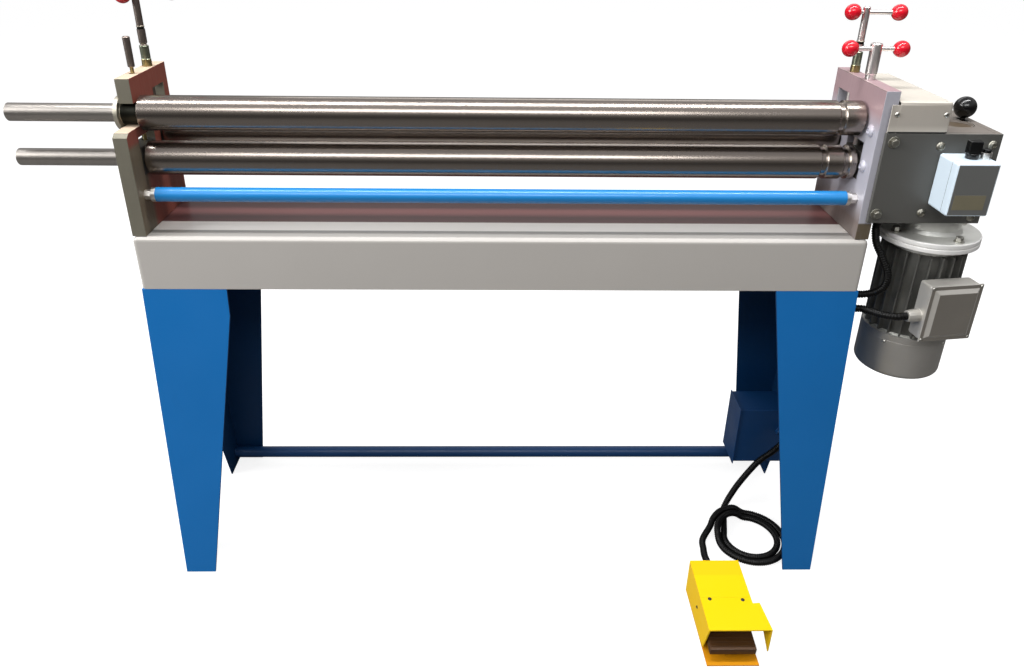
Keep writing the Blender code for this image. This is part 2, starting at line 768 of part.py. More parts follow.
def lower_roll():
    """The lower roll rises in two blocks that the front screws carry."""
    slide = pivot("lower_slide", (0, 0, LOWER_Z), MACHINE)
    spin = pivot("lower_roll_axis", (0, 0, LOWER_Z), slide)
    face = HALF - END_PLAY
    rows = [(GEAR_X + GEAR_T, KEYED_R), (FRAME_OUT + CHAMFER, KEYED_R), (FRAME_OUT + CHAMFER, JOURNAL_R),
            (face, JOURNAL_R)] + barrel(face, LOWER_GROOVES_IN) + [(-face, JOURNAL_R),
                                                                   (-STUB_LEFT, JOURNAL_R)]
    turned("lower_roll", steps(rows), STEEL, spin, (0, 0, LOWER_Z), AXIS_X)
    # the top gear's mirror image, half a tooth on, so that the two mesh once the gap is closed
    gear("lower_gear", spin, (GEAR_X, 0, LOWER_Z), GEAR_T, KEYED_R, math.pi / TEETH)
    for side, name in ((-1, "left"), (1, "right")):
        at = (side * FRAME_MID, 0, LOWER_Z)
        roll_block(name + "_lower_block", BLOCK_BACK, slide, at, FRONT_SCREW_Y, FRONT_SCREW_R)
        front_screw(name, side, slide)


def handle(name, axis, post, at, half, shift, heading=0):
    """A cross bar with a ball at each end. It slides in the cross hole of its post."""
    swung = Matrix.Rotation(heading, 4, "Z")
    hole = drill(name + "_hole", BAR_R + SEAT, half, -half, at, swung @ AXIS_X, 16)
    combine(post, hole)
    slide = pivot(name + "_slide", at, axis)
    neck = 180 - math.degrees(math.asin(BAR_R / BALL_R))
    right = [(half + BALL_R, 0)] + ball_rows(half, BALL_R, 28, neck, 6)
    left = [(-z, radius) for z, radius in reversed(right)]
    middle = Vector(at) + swung @ Vector((shift, 0, 0))
    turned(name, right + left, RED, slide, middle, swung @ AXIS_X, sides=14)


def front_screw(name, side, slide):
    """Right: thick spindle with a cross bar. Left: a plain pin-headed spindle."""
    at = (side * FRAME_MID, FRONT_SCREW_Y, LOWER_Z + BLOCK_HALF)
    axis = pivot(name + "_front_screw_axis", at, slide)
    radius = LEFT_PIN_R if side < 0 else FRONT_KNOB_R
    top, base = FRONT_TOP_Z - at[2], FRAME_TOP + SEAT - at[2]
    rows = [(top, radius - CHAMFER), (top - CHAMFER, radius), (base, radius), (base, FRONT_SCREW_R),
            (SEAT - SOCKET_DEEP, FRONT_SCREW_R)]
    screw = turned(name + "_front_screw", steps(rows), ZINC, axis, at, sides=20)
    if side > 0:
        handle("right_front_handle", axis, screw, (at[0], at[1], FRONT_TOP_Z - BAR_DOWN), FRONT_BAR_HALF, 0)


def rear_roll():
    """The rear roll climbs in two blocks that hang on the rear screws."""
    at = (0, REAR_Y, REAR_Z)
    slide = pivot("rear_slide", at, MACHINE)
    spin = pivot("rear_roll_axis", at, slide)
    face = HALF - END_PLAY
    end = FRAME_OUT - CHAMFER
    rows = [(end, JOURNAL_R), (face, JOURNAL_R)] + barrel(face, ()) + [(-face, JOURNAL_R), (-end, JOURNAL_R)]
    turned("rear_roll", steps(rows), STEEL, spin, at, AXIS_X)
    for side, name in ((-1, "left"), (1, "right")):
        middle = (side * FRAME_MID, REAR_Y, REAR_Z)
        roll_block(name + "_rear_block", BLOCK_HALF, slide, middle, REAR_Y, REAR_SCREW_R)
        rear_screw(name, middle, slide)


def rear_screw(name, middle, slide):
    axis = pivot(name + "_rear_screw_axis", middle, slide)
    raised, heading, shift = 0, 0, REAR_BAR_SHIFT
    if middle[0] < 0:
        raised, heading, shift = LEFT_REAR_RAISED, LEFT_REAR_TURN, LEFT_REAR_SHIFT
    top = REAR_TOP_Z + raised - REAR_Z
    rows = [(top, REAR_SCREW_R - CHAMFER), (top - CHAMFER, REAR_SCREW_R),
            (BLOCK_HALF - SOCKET_DEEP + SEAT, REAR_SCREW_R)]
    screw = turned(name + "_rear_screw", steps(rows), ZINC, axis, middle, sides=20)
    bar_at = (middle[0], REAR_Y, REAR_TOP_Z + raised - BAR_DOWN)
    handle(name + "_rear_handle", axis, screw, bar_at, REAR_BAR_HALF, shift, heading)
    turned(name + "_rear_nut", sleeve(NUT_R, REAR_SCREW_R + RUN, NUT_H, 0), ZINC, MACHINE,
           (middle[0], REAR_Y, FRAME_TOP + SEAT), sides=24)


def idler_y():
    return 2 * GEAR_R


def drive_shaft_place():
    """The worm wheel stands off the motor's axis, and its pinion meshes with the idler from below."""
    y = MOTOR_Y + WORM_R + WHEEL_R
    z = TOP_Z - math.sqrt((2 * GEAR_R) ** 2 - (y - idler_y()) ** 2)
    return y, z


def gear_case():
    """Thick front and back plates joined by an outer, a middle, a bottom and a top plate."""
    front_in = CASE_FRONT + SEAT
    back_in = CASE_BACK - CASE_PLATE
    rear = back_in - SEAT
    block("gear_front_plate", (CASE_LEFT, CASE_FRONT - CASE_PLATE, CASE_BOTTOM),
          (CASE_RIGHT, CASE_FRONT, CASE_TOP),
          GREY, MACHINE, CHAMFER)
    inner_left = FRAME_OUT + SEAT
    block("gear_back_plate", (inner_left, back_in, CASE_BOTTOM), (CASE_RIGHT, CASE_BACK, CASE_TOP), GREY,
          MACHINE)
    outer_in = CASE_RIGHT - CASE_WALL
    shaft_hole = circle_points(SHAFT_R + RUN, drive_shaft_place(), 24)
    sides = [(front_in, CASE_BOTTOM), (rear, CASE_BOTTOM), (rear, CASE_TOP), (front_in, CASE_TOP)]
    side_plate("gear_outer_plate", sides, CASE_RIGHT - CASE_WALL / 2, CASE_WALL, GREY, MACHINE, [shaft_hole])
    floor_top = CASE_BOTTOM + CASE_WALL
    high = COVER_TOP - MIDDLE_PLATE_DOWN
    middle = [(front_in, floor_top + SEAT), (rear, floor_top + SEAT), (rear, high), (front_in, high)]
    holes = [shaft_hole, circle_points(SHAFT_R + RUN, (idler_y(), TOP_Z), 24)]
    side_plate("gear_middle_plate", middle, MIDDLE_X + CASE_WALL / 2, CASE_WALL, GREY, MACHINE, holes)
    bottom = block("gear_bottom_plate", (inner_left, front_in, CASE_BOTTOM),
                   (outer_in - SEAT, rear, floor_top),
                   GREY, MACHINE)
    combine(bottom, drill("motor_hole", WORM_R + WORM_MODULE + PAST, PAST + CASE_WALL, -PAST,
                          (MOTOR_X, MOTOR_Y, CASE_BOTTOM), sides=28))
    lid_left = MIDDLE_X + CASE_WALL + SEAT
    lid = block("gear_top_plate", (lid_left, front_in, CASE_TOP - CASE_LID),
                (outer_in - SEAT, rear, CASE_TOP),
                GREY, MACHINE)
    combine(lid, drill("cap_recess", CAP_R, PAST, -CAP_DEEP, (MOTOR_X, MOTOR_Y, CASE_TOP), sides=28))
    reach = (CASE_TOP - LEVER_HUB_Z) * math.tan(LEVER_ANGLE) + LEVER_R / math.cos(LEVER_ANGLE) + 2 * RUN
    slot = box_mesh("lever_slot", (2 * (LEVER_R + 2 * RUN), 2 * reach, 2 * (CASE_LID + PAST)))
    combine(lid, cutter("lever_slot", slot, (LEVER_X, LEVER_Y, CASE_TOP)))


def gear_cover():
    """Sheet hood over the gears, open below and toward the side frame, its front lapping the frame."""
    inset = COVER_SHEET / 2
    low = Vector((FRAME_OUT + SEAT + inset, CASE_FRONT - CASE_PLATE + inset, CASE_TOP + SEAT))
    high = Vector((MIDDLE_X + CASE_WALL + SEAT + inset, CASE_BACK - inset, COVER_TOP - inset))
    size = high - low
    bm = bmesh.new()
    bmesh.ops.create_cube(bm, size=1, matrix=Matrix.Translation(size / 2) @ Matrix.Diagonal((*size, 1)))
    floor = min(bm.faces, key=lambda f: f.calc_center_median().z)
    left = min(bm.faces, key=lambda f: f.calc_center_median().x)
    bmesh.ops.delete(bm, geom=[floor, left], context="FACES_ONLY")
    edges = [e for e in bm.edges if not e.is_boundary]
    bmesh.ops.bevel(bm, geom=edges, offset=COVER_ROUND, segments=2, affect="EDGES", profile=0.5)
    hood = new_object("gear_cover", mesh_from(bm, "gear_cover"), PALE, MACHINE, low)
    sheet_of(hood, COVER_SHEET)
    flap = Vector((CASE_LAP + COVER_SHEET, COVER_SHEET - SEAT, COVER_TOP - COVER_ROUND - low.z))
    flap_at = Vector((CASE_LEFT, CASE_FRONT - CASE_PLATE + SEAT / 2, low.z)) + flap / 2
    fuse(hood, new_object("cover_flap", box_mesh("cover_flap", flap), PALE, MACHINE, flap_at))


def worm_mesh(name):
    """One thread round a core, as a height field about Z: a ridge that climbs one pitch a turn."""
    core, crest = WORM_R - WORM_MODULE, WORM_R + WORM_MODULE
    sides, rows = 16, round(2 * WORM_HALF / WORM_PITCH * 6)
    bm = bmesh.new()
    bmesh.ops.create_grid(bm, x_segments=sides, y_segments=rows, size=0.5)
    for vert in bm.verts:
        angle, z = 2 * math.pi * vert.co.x, 2 * WORM_HALF * vert.co.y
        phase = (z / WORM_PITCH - angle / (2 * math.pi) + 0.5) % 1 - 0.5
        height = min(1, max(0, (THREAD_ROOT - abs(phase)) / (THREAD_ROOT - THREAD_TIP)))
        radius = core + (crest - core) * height
        vert.co = (radius * math.cos(angle), radius * math.sin(angle), z)
    bmesh.ops.remove_doubles(bm, verts=bm.verts, dist=0.00001)
    bmesh.ops.holes_fill(bm, edges=[e for e in bm.edges if e.is_boundary])
    return mesh_from(bm, name)


def drive_train():
    """Idler above, and below it the shaft that carries the pinion and the worm wheel."""
    shaft_y, shaft_z = drive_shaft_place()
    idler = pivot("idler_axis", (0, idler_y(), TOP_Z), MACHINE)
    end = MIDDLE_X + CASE_WALL
    stub = turned("idler_gear", rod(SHAFT_R, end - SEAT, IDLER_PLANE - CHAMFER), IRON, idler,
                  (0, idler_y(), TOP_Z),
                  AXIS_X, sides=24)
    # the top gear's tooth at angle 0 enters a space of the idler, which faces it at angle pi
    first = math.pi + math.pi / TEETH
    fuse(stub, gear("idler_teeth", idler, (IDLER_PLANE, idler_y(), TOP_Z), IDLER_T, 0, first))
    shaft = pivot("drive_shaft_axis", (0, shaft_y, shaft_z), MACHINE)
    long_shaft = turned("drive_shaft", rod(SHAFT_R, CASE_RIGHT - CHAMFER, IDLER_PLANE - CHAMFER), STEEL,
                        shaft,
                        (0, shaft_y, shaft_z), AXIS_X, sides=24)
    # line of centres from the idler to the shaft, and the idler's tooth nearest to it
    line = math.atan2(shaft_z - TOP_Z, shaft_y - idler_y())
    pitch = 2 * math.pi / TEETH
    facing = line + math.pi + (line - first) % pitch + pitch / 2
    fuse(long_shaft, gear("pinion_teeth", shaft, (IDLER_PLANE, shaft_y, shaft_z), IDLER_T, 0, facing))
    # the thread faces the wheel a quarter of a pitch above the shaft, where the wheel has a space
    phase = math.pi + 2 * math.pi / WHEEL_TEETH / 4
    outline = gear_outline(WHEEL_TEETH, WHEEL_R, WORM_MODULE, 1.25 * WORM_MODULE, WHEEL_TIP, WHEEL_ROOT,
                           phase)
    mesh = plate_mesh("worm_wheel", outline, WHEEL_T, [circle_points(SHAFT_R + SEAT, sides=24)])
    new_object("worm_wheel", mesh, BRONZE, shaft, (MOTOR_X, shaft_y, shaft_z), SIDE_ON)


def motor():
    """Flanged motor hung under the case, its shaft carrying the worm, the rotor and the fan."""
    top = CASE_BOTTOM - SEAT
    centre = (MOTOR_X, MOTOR_Y, 0)
    flange_low = FLANGE_TOP - ADAPTER_T
    neck = [(top, ADAPTER_BORE), (top, NECK_R), (FLANGE_TOP + PAST, NECK_R), (FLANGE_TOP, FLANGE_R),
            (flange_low, FLANGE_R), (flange_low, ADAPTER_BORE)]
    turned("motor_adapter", neck, SILVER, MACHINE, centre, sides=36)
    face = flange_low - SEAT
    body_top = face - FLANGE_T
    neck_low = body_top - NECK_GAP
    seal = MOTOR_SHAFT_R + RUN
    shell = [(face, seal), (face, FLANGE_R), (body_top, FLANGE_R), (body_top, BODY_R), (neck_low, BODY_R),
             (neck_low, seal)]
    turned("motor_flange", shell, SILVER, MACHINE, centre, sides=36)
    points = []
    for k in range(FINS):
        middle = 2 * math.pi * (k + 0.5) / FINS
        for angle, radius in ((-FIN_T / 2 / BODY_R, BODY_R), (-FIN_T / 2 / FIN_R, FIN_R),
                              (FIN_T / 2 / FIN_R, FIN_R),
                              (FIN_T / 2 / BODY_R, BODY_R)):
            points.append((radius * math.cos(middle + angle), radius * math.sin(middle + angle)))
    body_z = neck_low - SEAT - BODY_H / 2
    body_mesh = plate_mesh("motor_body", points, BODY_H, [circle_points(STATOR_R)])
    new_object("motor_body", body_mesh, SILVER, MACHINE, (MOTOR_X, MOTOR_Y, body_z))
    bell_top = body_z - BODY_H / 2 - SEAT
    bell_low = bell_top - BELL_H
    rim_r = COWL_R - COWL_SHEET - SEAT
    rim_top = bell_top - RIM_DOWN
    bell = [(bell_top, seal), (bell_top, BODY_R), (rim_top, BODY_R), (rim_top, rim_r),
            (rim_top - RIM_H, rim_r),
            (bell_low, BELL_R), (bell_low, seal)]
    turned("motor_end_bell", bell, SILVER, MACHINE, centre, sides=36)
    cowl_low = bell_top - COWL_H
    inner = COWL_R - COWL_SHEET
    cowl = [(bell_top, inner), (bell_top, COWL_R), (cowl_low + COWL_ROUND, COWL_R),
            (cowl_low, COWL_R - COWL_ROUND),
            (cowl_low, COWL_HOLE), (cowl_low + COWL_SHEET, COWL_HOLE),
            (cowl_low + COWL_SHEET, inner - COWL_ROUND), (cowl_low + COWL_ROUND, inner)]
    turned("motor_fan_cowl", cowl, SILVER, MACHINE, centre, sides=36)
    spin = pivot("motor_axis", centre, MACHINE)
    worm_z = drive_shaft_place()[1]
    rotor_top, rotor_low = body_z + ROTOR_H / 2, body_z - ROTOR_H / 2
    rows = [(worm_z, MOTOR_SHAFT_R), (rotor_top, MOTOR_SHAFT_R), (rotor_top, ROTOR_R), (rotor_low, ROTOR_R),
            (rotor_low, MOTOR_SHAFT_R), (cowl_low + SHAFT_CLEAR, MOTOR_SHAFT_R)]
    rotor = turned("motor_rotor", steps(rows), STEEL, spin, centre, sides=24)
    fuse(rotor, new_object("worm_thread", worm_mesh("worm_thread"), STEEL, spin, (MOTOR_X, MOTOR_Y, worm_z)))
    blades = []
    for k in range(FAN_BLADES):
        middle = 2 * math.pi * k / FAN_BLADES
        for angle, radius in ((-0.28, FAN_HUB_R), (-0.05, FAN_R), (0.05, FAN_R), (0.28, FAN_HUB_R)):
            blades.append((radius * math.cos(middle + angle), radius * math.sin(middle + angle)))
    fan = plate_mesh("motor_fan", blades, FAN_T, [circle_points(MOTOR_SHAFT_R + SEAT, sides=24)])
    new_object("motor_fan", fan, BLACK, spin, (MOTOR_X, MOTOR_Y, bell_low - FAN_GAP - FAN_T / 2))


def terminal_box():
    """Box on the front of the motor, its lid and its gland, where the short hose starts."""
    turn = Matrix.Rotation(TERM_TURN, 4, "Z")
    centre = Vector((MOTOR_X, MOTOR_Y, TERM_Z))
    reach = FIN_R + SEAT + TERM_D / 2
    outward, side = turn.to_3x3() @ Vector((0, -1, 0)), turn.to_3x3() @ Vector((-1, 0, 0))
    place = centre + outward * reach
    body = new_object("terminal_box", box_mesh("terminal_box", (TERM_W, TERM_D, TERM_H), bevel=TERM_WALL),
                      SILVER, MACHINE, place, turn)
    wall = 2 * TERM_WALL
    inner = box_mesh("terminal_inner", (TERM_W - wall, TERM_D, TERM_H - wall), (0, -TERM_WALL, 0))
    combine(body, cutter("terminal_inner", inner, place, turn))
    lid_at = place + outward * (TERM_D / 2 + SEAT + TERM_LID / 2)
    size = (TERM_W + 2 * TERM_LIP, TERM_LID, TERM_H + 2 * TERM_LIP)
    new_object("terminal_lid", box_mesh("terminal_lid", size, bevel=TERM_LIP), SILVER, MACHINE, lid_at, turn)
    gland_at = place + side * (TERM_W / 2) - Vector((0, 0, GLAND_DOWN))
    upright = side.to_track_quat("Z", "Y").to_matrix().to_4x4()
    gland = steps([(GLAND_L, GLAND_R - TERM_LIP), (GLAND_L / 2, GLAND_R), (-TERM_WALL / 2, GLAND_R)])
    fuse(body, turned("terminal_gland", gland, SILVER, MACHINE, gland_at, upright, sides=12))
    wall_x = BED_HALF + SEAT
    start = gland_at + side * (GLAND_L + SEAT)
    wall = Vector((wall_x, *MOTOR_WALL))
    bends = [wall + Vector(bend) for bend in MOTOR_BENDS]
    hose("motor_hose", [start, start + side * HOSE_R, start + side * GLAND_LEAD, *bends, wall], MOTOR_RIBS)
    wall = Vector((wall_x, *SWITCH_WALL_AT))
    bends = [wall + Vector(bend) for bend in SWITCH_BENDS]
    leave = Vector((wall_x + SWITCH_EXIT[0], SWITCH_EXIT[1], CASE_BOTTOM - SEAT))
    hose("switch_hose", [leave, leave - Vector((0, 0, 2 * HOSE_R)), *bends, wall], SWITCH_RIBS)


def switch_box():
    """Box on the case's front plate with a selector and a push button on top."""
    front = CASE_FRONT - CASE_PLATE - SEAT
    centre = Vector((SWITCH_X, front - SWITCH_D / 2, SWITCH_Z))
    shell = box_mesh("switch_box", (SWITCH_W, SWITCH_D, SWITCH_H), bevel=SWITCH_ROUND, flat_back=True)
    box = new_object("switch_box", shell, MIST, MACHINE, centre)
    wall = 2 * SWITCH_WALL
    hollow = box_mesh("switch_hollow", (SWITCH_W - wall, SWITCH_D, SWITCH_H - wall), (0, SWITCH_WALL, 0))
    combine(box, cutter("switch_hollow", hollow, centre))
    top = SWITCH_Z + SWITCH_H / 2
    for name, x in (("selector", SELECTOR_X), ("button", BUTTON_X)):
        combine(box, drill(name + "_hole", STEM_R + RUN, PAST, -PAST, (x, centre.y, top)))
    at = (SELECTOR_X, centre.y, top)
    rows = [(SELECTOR_H, SELECTOR_R - CHAMFER), (SELECTOR_H - CHAMFER, SELECTOR_R), (SEAT, SELECTOR_R),
            (SEAT, STEM_R), (-STEM_L, STEM_R)]
    knob = turned("selector_knob", steps(rows), BLACK, pivot("selector_axis", at, MACHINE), at, sides=20)
    grip = box_mesh("grip", (2 * SELECTOR_R, GRIP_W, GRIP_H), (0, 0, SELECTOR_H), CHAMFER)
    combine(knob, cutter("selector_grip", grip, at), "UNION")
    at = (BUTTON_X, centre.y, top)
    rest = BUTTON_TRAVEL + SEAT
    rows = [(BUTTON_H, BUTTON_R - CHAMFER), (BUTTON_H - CHAMFER, BUTTON_R), (rest, BUTTON_R), (rest, STEM_R),
            (-STEM_L, STEM_R)]
    turned("push_button", steps(rows), BLACK, pivot("button_slide", at, MACHINE), at, sides=20)


def lever():
    """Ball lever that leaves the case through a slot in its top plate."""
    at = (LEVER_X, LEVER_Y, LEVER_HUB_Z)
    tilt = pivot("lever_axis", at, MACHINE)
    up = LEVER_BALL_Z - LEVER_HUB_Z
    neck = 180 - math.degrees(math.asin(LEVER_R / LEVER_BALL_R))
    rows = [(up + LEVER_BALL_R, 0)] + ball_rows(up, LEVER_BALL_R, 24, neck, 6) + [(0, LEVER_R), (0, 0)]
    stem = turned("lever", rows, BLACK, tilt, at, sides=20)
    hub = turned("lever_hub", rod(LEVER_HUB_R, LEVER_HUB_HALF, -LEVER_HUB_HALF), BLACK, MACHINE, at,
                 AXIS_X, 20)
    fuse(stem, hub)
    reach = CASE_RIGHT - CASE_WALL - SEAT - LEVER_X
    fuse(stem, turned("lever_pin", rod(LEVER_R, reach, 0), BLACK, MACHINE, at, AXIS_X, 16))


def electrical_box():
    """Sheet box inside the right pedestal, with a hinged lid on its left side."""
    right = BED_HALF - LEG_SHEET - SEAT
    low = Vector((right - EBOX_W, EBOX_BACK - EBOX_D, EBOX_Z))
    high = Vector((right, EBOX_BACK, EBOX_Z + EBOX_H))
    box = block("electrical_box", low, high, BLUE, MACHINE, EBOX_SHEET / 2)
    hollow = box_mesh("hollow", high - low - Vector((EBOX_SHEET, 2 * EBOX_SHEET, 2 * EBOX_SHEET)))
    combine(box, cutter("electrical_hollow", hollow, (low + high) / 2 - Vector((EBOX_SHEET, 0, 0))))
    gland = rod(HOSE_GLAND_R, EBOX_SHEET / 2, -HOSE_GLAND_L)
    fuse(box, turned("box_gland", gland, BLUE, MACHINE, (*BOX_EXIT, EXIT_Z), AXIS_Y, 16))
    lid_x = low.x - SEAT
    hinge = pivot("electrical_lid_hinge", (lid_x - EBOX_SHEET / 2, high.y, 0), MACHINE)
    block("electrical_lid", (lid_x - EBOX_SHEET, low.y - EBOX_LIP, low.z - EBOX_LIP),
          (lid_x, high.y, high.z + EBOX_LIP), BLUE, hinge)


def foot_switch():
    """Tray, bent sheet guard with a flared mouth, and a sprung treadle under it."""
    left, right = PEDAL_LEFT, PEDAL_LEFT + PEDAL_W
    block("pedal_base", (left, PEDAL_FRONT, 0), (right, PEDAL_BACK, TRAY_T), YELLOW, MACHINE)
    low = TRAY_T + SEAT
    inset = GUARD_SHEET / 2
    near, far, back, roof = left + inset, right - inset, PEDAL_BACK - inset, GUARD_H - inset
    slope = (GUARD_H - MOUTH_H) / (PEDAL_BACK - MOUTH_Y)

    def roof_z(y):
        return roof - slope * (back - y)

    bm = bmesh.new()
    spots = {"near_foot": (near, back, low), "far_foot": (far, back, low), "near_top": (near, back, roof),
             "far_top": (far, back, roof), "mouth": (near, MOUTH_Y, roof_z(MOUTH_Y)),
             "mouth_foot": (near, MOUTH_FOOT_Y, low), "flare": (far, FLARE_Y, roof_z(FLARE_Y)),
             "flare_foot": (far, FLARE_Y, low), "flare_out": (far + FLARE_STEP, FLARE_Y, roof_z(FLARE_Y)),
             "corner": (far + FLARE_OUT, MOUTH_Y, roof_z(MOUTH_Y)), "flap": (far + FLARE_OUT, MOUTH_Y,
                                                                             FLAP_LOW)}
    spots = {name: bm.verts.new(place) for name, place in spots.items()}
    for face in ("near_foot near_top mouth mouth_foot", "near_foot near_top far_top far_foot",
                 "near_top mouth corner flare_out flare far_top", "far_foot far_top flare flare_foot",
                 "flare_out corner flap"):
        bm.faces.new([spots[name] for name in face.split()])
    guard = new_object("pedal_guard", mesh_from(bm, "pedal_guard"), YELLOW, MACHINE)
    sheet_of(guard, GUARD_SHEET)
    middle = (left + right) / 2
    under = box_mesh("under", (2 * PEDAL_W, 2 * (PEDAL_BACK - PEDAL_FRONT), PAST), (0, 0, -PAST / 2))
    combine(guard, cutter("guard_seat", under, (middle, PEDAL_BACK, low)))
    entry = (middle, PEDAL_BACK, PEDAL_ENTRY_Z)
    fuse(guard, turned("guard_gland", rod(HOSE_GLAND_R, HOSE_GLAND_L, -inset), YELLOW, MACHINE, entry,
                       AXIS_Y, 16))
    at = (middle, TREADLE_PIN_Y, TREADLE_Z)
    hinge = pivot("treadle_hinge", at, MACHINE)
    inside = PEDAL_W - 2 * GUARD_SHEET
    length = TREADLE_PIN_Y - TREADLE_FRONT
    body = box_mesh("treadle", (inside - 2 * TREADLE_GAP, length, TREADLE_T), (0, -length / 2, 0),
                    2 * CHAMFER)
    tilt = Matrix.Rotation(TREADLE_ANGLE, 4, "X")
    treadle = new_object("pedal_treadle", body, BLACK, hinge, at, tilt)
    pin = rod(TREADLE_PIN_R, inside / 2 - SEAT, SEAT - inside / 2)
    fuse(treadle, turned("treadle_pin", pin, BLACK, MACHINE, at, AXIS_X, 12))
    return middle


def pedal_route(pedal_x):
    """Forward out of the box, two open turns on the floor, over the first stretch and into the pedal."""
    floor = HOSE_R + SEAT
    loop_x, loop_y = LOOP_CENTRE
    start = math.radians(LOOP_START)
    first = Vector((loop_x + LOOP_R * math.cos(start), loop_y + LOOP_R * math.sin(start), 0))
    box = Vector((*BOX_EXIT, 0))
    leave = box + Vector((0, -HOSE_GLAND_L - SEAT, EXIT_Z))
    points = [leave, leave - Vector((0, 2 * HOSE_R, 0)), *(box + Vector(bend) for bend in EXIT_BENDS)]
    laid = box + Vector((*LAID, floor))
    arrive = [laid.lerp(first + Vector((0, 0, floor)), share) for share in (0, 0.33, 0.66)]
    points += arrive
    strand = [arrive[0].lerp(first, share) for share in np.linspace(0, 1, 40)]
    for k in range(LOOP_TURNS * LOOP_POINTS + 1):
        angle = start + 2 * math.pi * k / LOOP_POINTS
        radius = LOOP_R + LOOP_STEP * k / LOOP_POINTS
        spot = Vector((loop_x + radius * math.cos(angle), loop_y + radius * math.sin(angle), 0))
        lift = 0
        if k > LOOP_POINTS / 2:
            apart = min(((spot - p).xy).length for p in strand)
            share = min(1, max(0, 1 - (apart - 2 * HOSE_R) / CROSSING_RAMP))
            lift = (2 * HOSE_R + 4 * SEAT) * (3 - 2 * share) * share ** 2
        points.append(spot + Vector((0, 0, floor + lift)))
    end = PEDAL_BACK + HOSE_GLAND_L + SEAT
    points += [Vector((pedal_x + x, end + y, z)) for x, y, z in
               ((0.018, 0.130, floor), (0.012, 0.098, floor + 0.002), (0.006, 0.070, floor + 0.013),
                (0.001, 0.046, PEDAL_ENTRY_Z - 0.005), (0, 4 * HOSE_R, PEDAL_ENTRY_Z),
                (0, 2 * HOSE_R, PEDAL_ENTRY_Z), (0, 0, PEDAL_ENTRY_Z))]
    return points


stand()
bed()
side_frame("left_frame", -1)
side_frame("right_frame", 1)
tie_rod()
top_roll()
lower_roll()
rear_roll()
gear_case()
gear_cover()
drive_train()
motor()
terminal_box()
switch_box()
lever()
electrical_box()
hose("pedal_hose", pedal_route(foot_switch()), PEDAL_RIBS)
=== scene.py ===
"""Dressed model of a motor-driven plate rolling machine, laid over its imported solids."""
import json
import math

import bpy
import numpy as np
from mathutils import Matrix, Vector


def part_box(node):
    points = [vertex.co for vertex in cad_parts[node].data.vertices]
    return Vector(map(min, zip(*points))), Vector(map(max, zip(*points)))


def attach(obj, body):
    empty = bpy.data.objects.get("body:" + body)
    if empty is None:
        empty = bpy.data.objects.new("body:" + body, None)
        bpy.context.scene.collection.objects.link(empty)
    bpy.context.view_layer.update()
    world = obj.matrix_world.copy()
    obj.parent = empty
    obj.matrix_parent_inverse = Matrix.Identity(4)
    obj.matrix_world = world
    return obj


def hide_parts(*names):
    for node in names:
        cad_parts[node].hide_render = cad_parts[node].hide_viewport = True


bl_info = {
    "name": "Plate rolling machine",
    "version": (1, 0, 0),
    "blender": (4, 5, 0),
    "location": "3D View > Sidebar > Plate roll",
    "description": "Builds the pieces, finishes, lights and camera of a three-roll slip roll",
    "category": "Object",
}

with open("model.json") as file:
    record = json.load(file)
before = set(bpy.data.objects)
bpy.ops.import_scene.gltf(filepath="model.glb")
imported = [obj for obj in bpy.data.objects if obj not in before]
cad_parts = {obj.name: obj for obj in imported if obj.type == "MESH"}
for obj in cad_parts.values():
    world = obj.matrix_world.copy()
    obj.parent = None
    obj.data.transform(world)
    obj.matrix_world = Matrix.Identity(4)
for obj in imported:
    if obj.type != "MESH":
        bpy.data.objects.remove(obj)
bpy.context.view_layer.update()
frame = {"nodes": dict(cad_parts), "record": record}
NODES = frame["nodes"]
BODY_OF = {node: body for body, nodes in frame["record"]["behaviour"]["bodies"].items() for node in nodes}

# The machine is drawn with its rolls' middle on X = 0 and the top roll on Y = 0
FOOTPRINT_MIDDLE = Vector((0.0155, -0.067, 0))
ALONG_X = Matrix.Rotation(math.pi / 2, 4, "Y")
TOWARD_LEFT = Matrix.Rotation(-math.pi / 2, 4, "Y")
TOWARD_FRONT = Matrix.Rotation(math.pi / 2, 4, "X")
UNTURNED = Matrix.Identity(4)
SIDE = {"left": -1, "right": 1}

# Places that several pieces share, in the machine's own frame
FIT = 0.0003
FRAME_X = 0.678
TOP_ROLL_Z, LOWER_ROLL_Z = 0.982, 0.898
REAR_ROLL_Y, REAR_ROLL_Z = 0.100, 0.925
FRONT_SCREW_Y, FRONT_BAR_Z = 0.030, 1.102
FRAME_TOP = 1.0473
SCREW_FOOT = 0.026 - 0.0057
JOURNAL_R, DRIVE_END_R = 0.016, 0.012
ROLL_FACE = 0.6605
ROD_Y, ROD_Z, ROD_R = -0.042, 0.840, 0.0135
MOTOR_X, MOTOR_Y = 0.840, -0.006
FLANGE_R, SPIGOT_R, SHAFT_HOLE_R = 0.094, 0.067, 0.0104
BUSH_HOLE_R = 0.0164
TERMINAL_TURN, TERMINAL_Z, TERMINAL_HALF = math.radians(8), 0.638, 0.018
CASE_FRONT_Y = -0.0813
HOSE_R, HOSE_ROOT, HOSE_WALL_X = 0.0077, 0.80, 0.6923
PEDAL_X, PEDAL_END_Y = 0.4515, -0.200


def spot(x, y, z):
    """A place given in the machine's own frame."""
    return Vector((x, y, z)) - FOOTPRINT_MIDDLE


def at(x, y, z, turn=UNTURNED):
    """A turned place given in the machine's own frame."""
    return Matrix.Translation(spot(x, y, z)) @ turn


def own_x(place):
    """How far right a face's centre lies in the machine's own frame."""
    return place.x + FOOTPRINT_MIDDLE.x


# ---------------------------------------------------------------- finishes

def feed(tree, node, inputs):
    """Links or sets each input of a node, by its name or number."""
    for socket, value in inputs.items():
        if isinstance(value, bpy.types.NodeSocket):
            tree.links.new(value, node.inputs[socket])
        else:
            node.inputs[socket].default_value = value
    return node


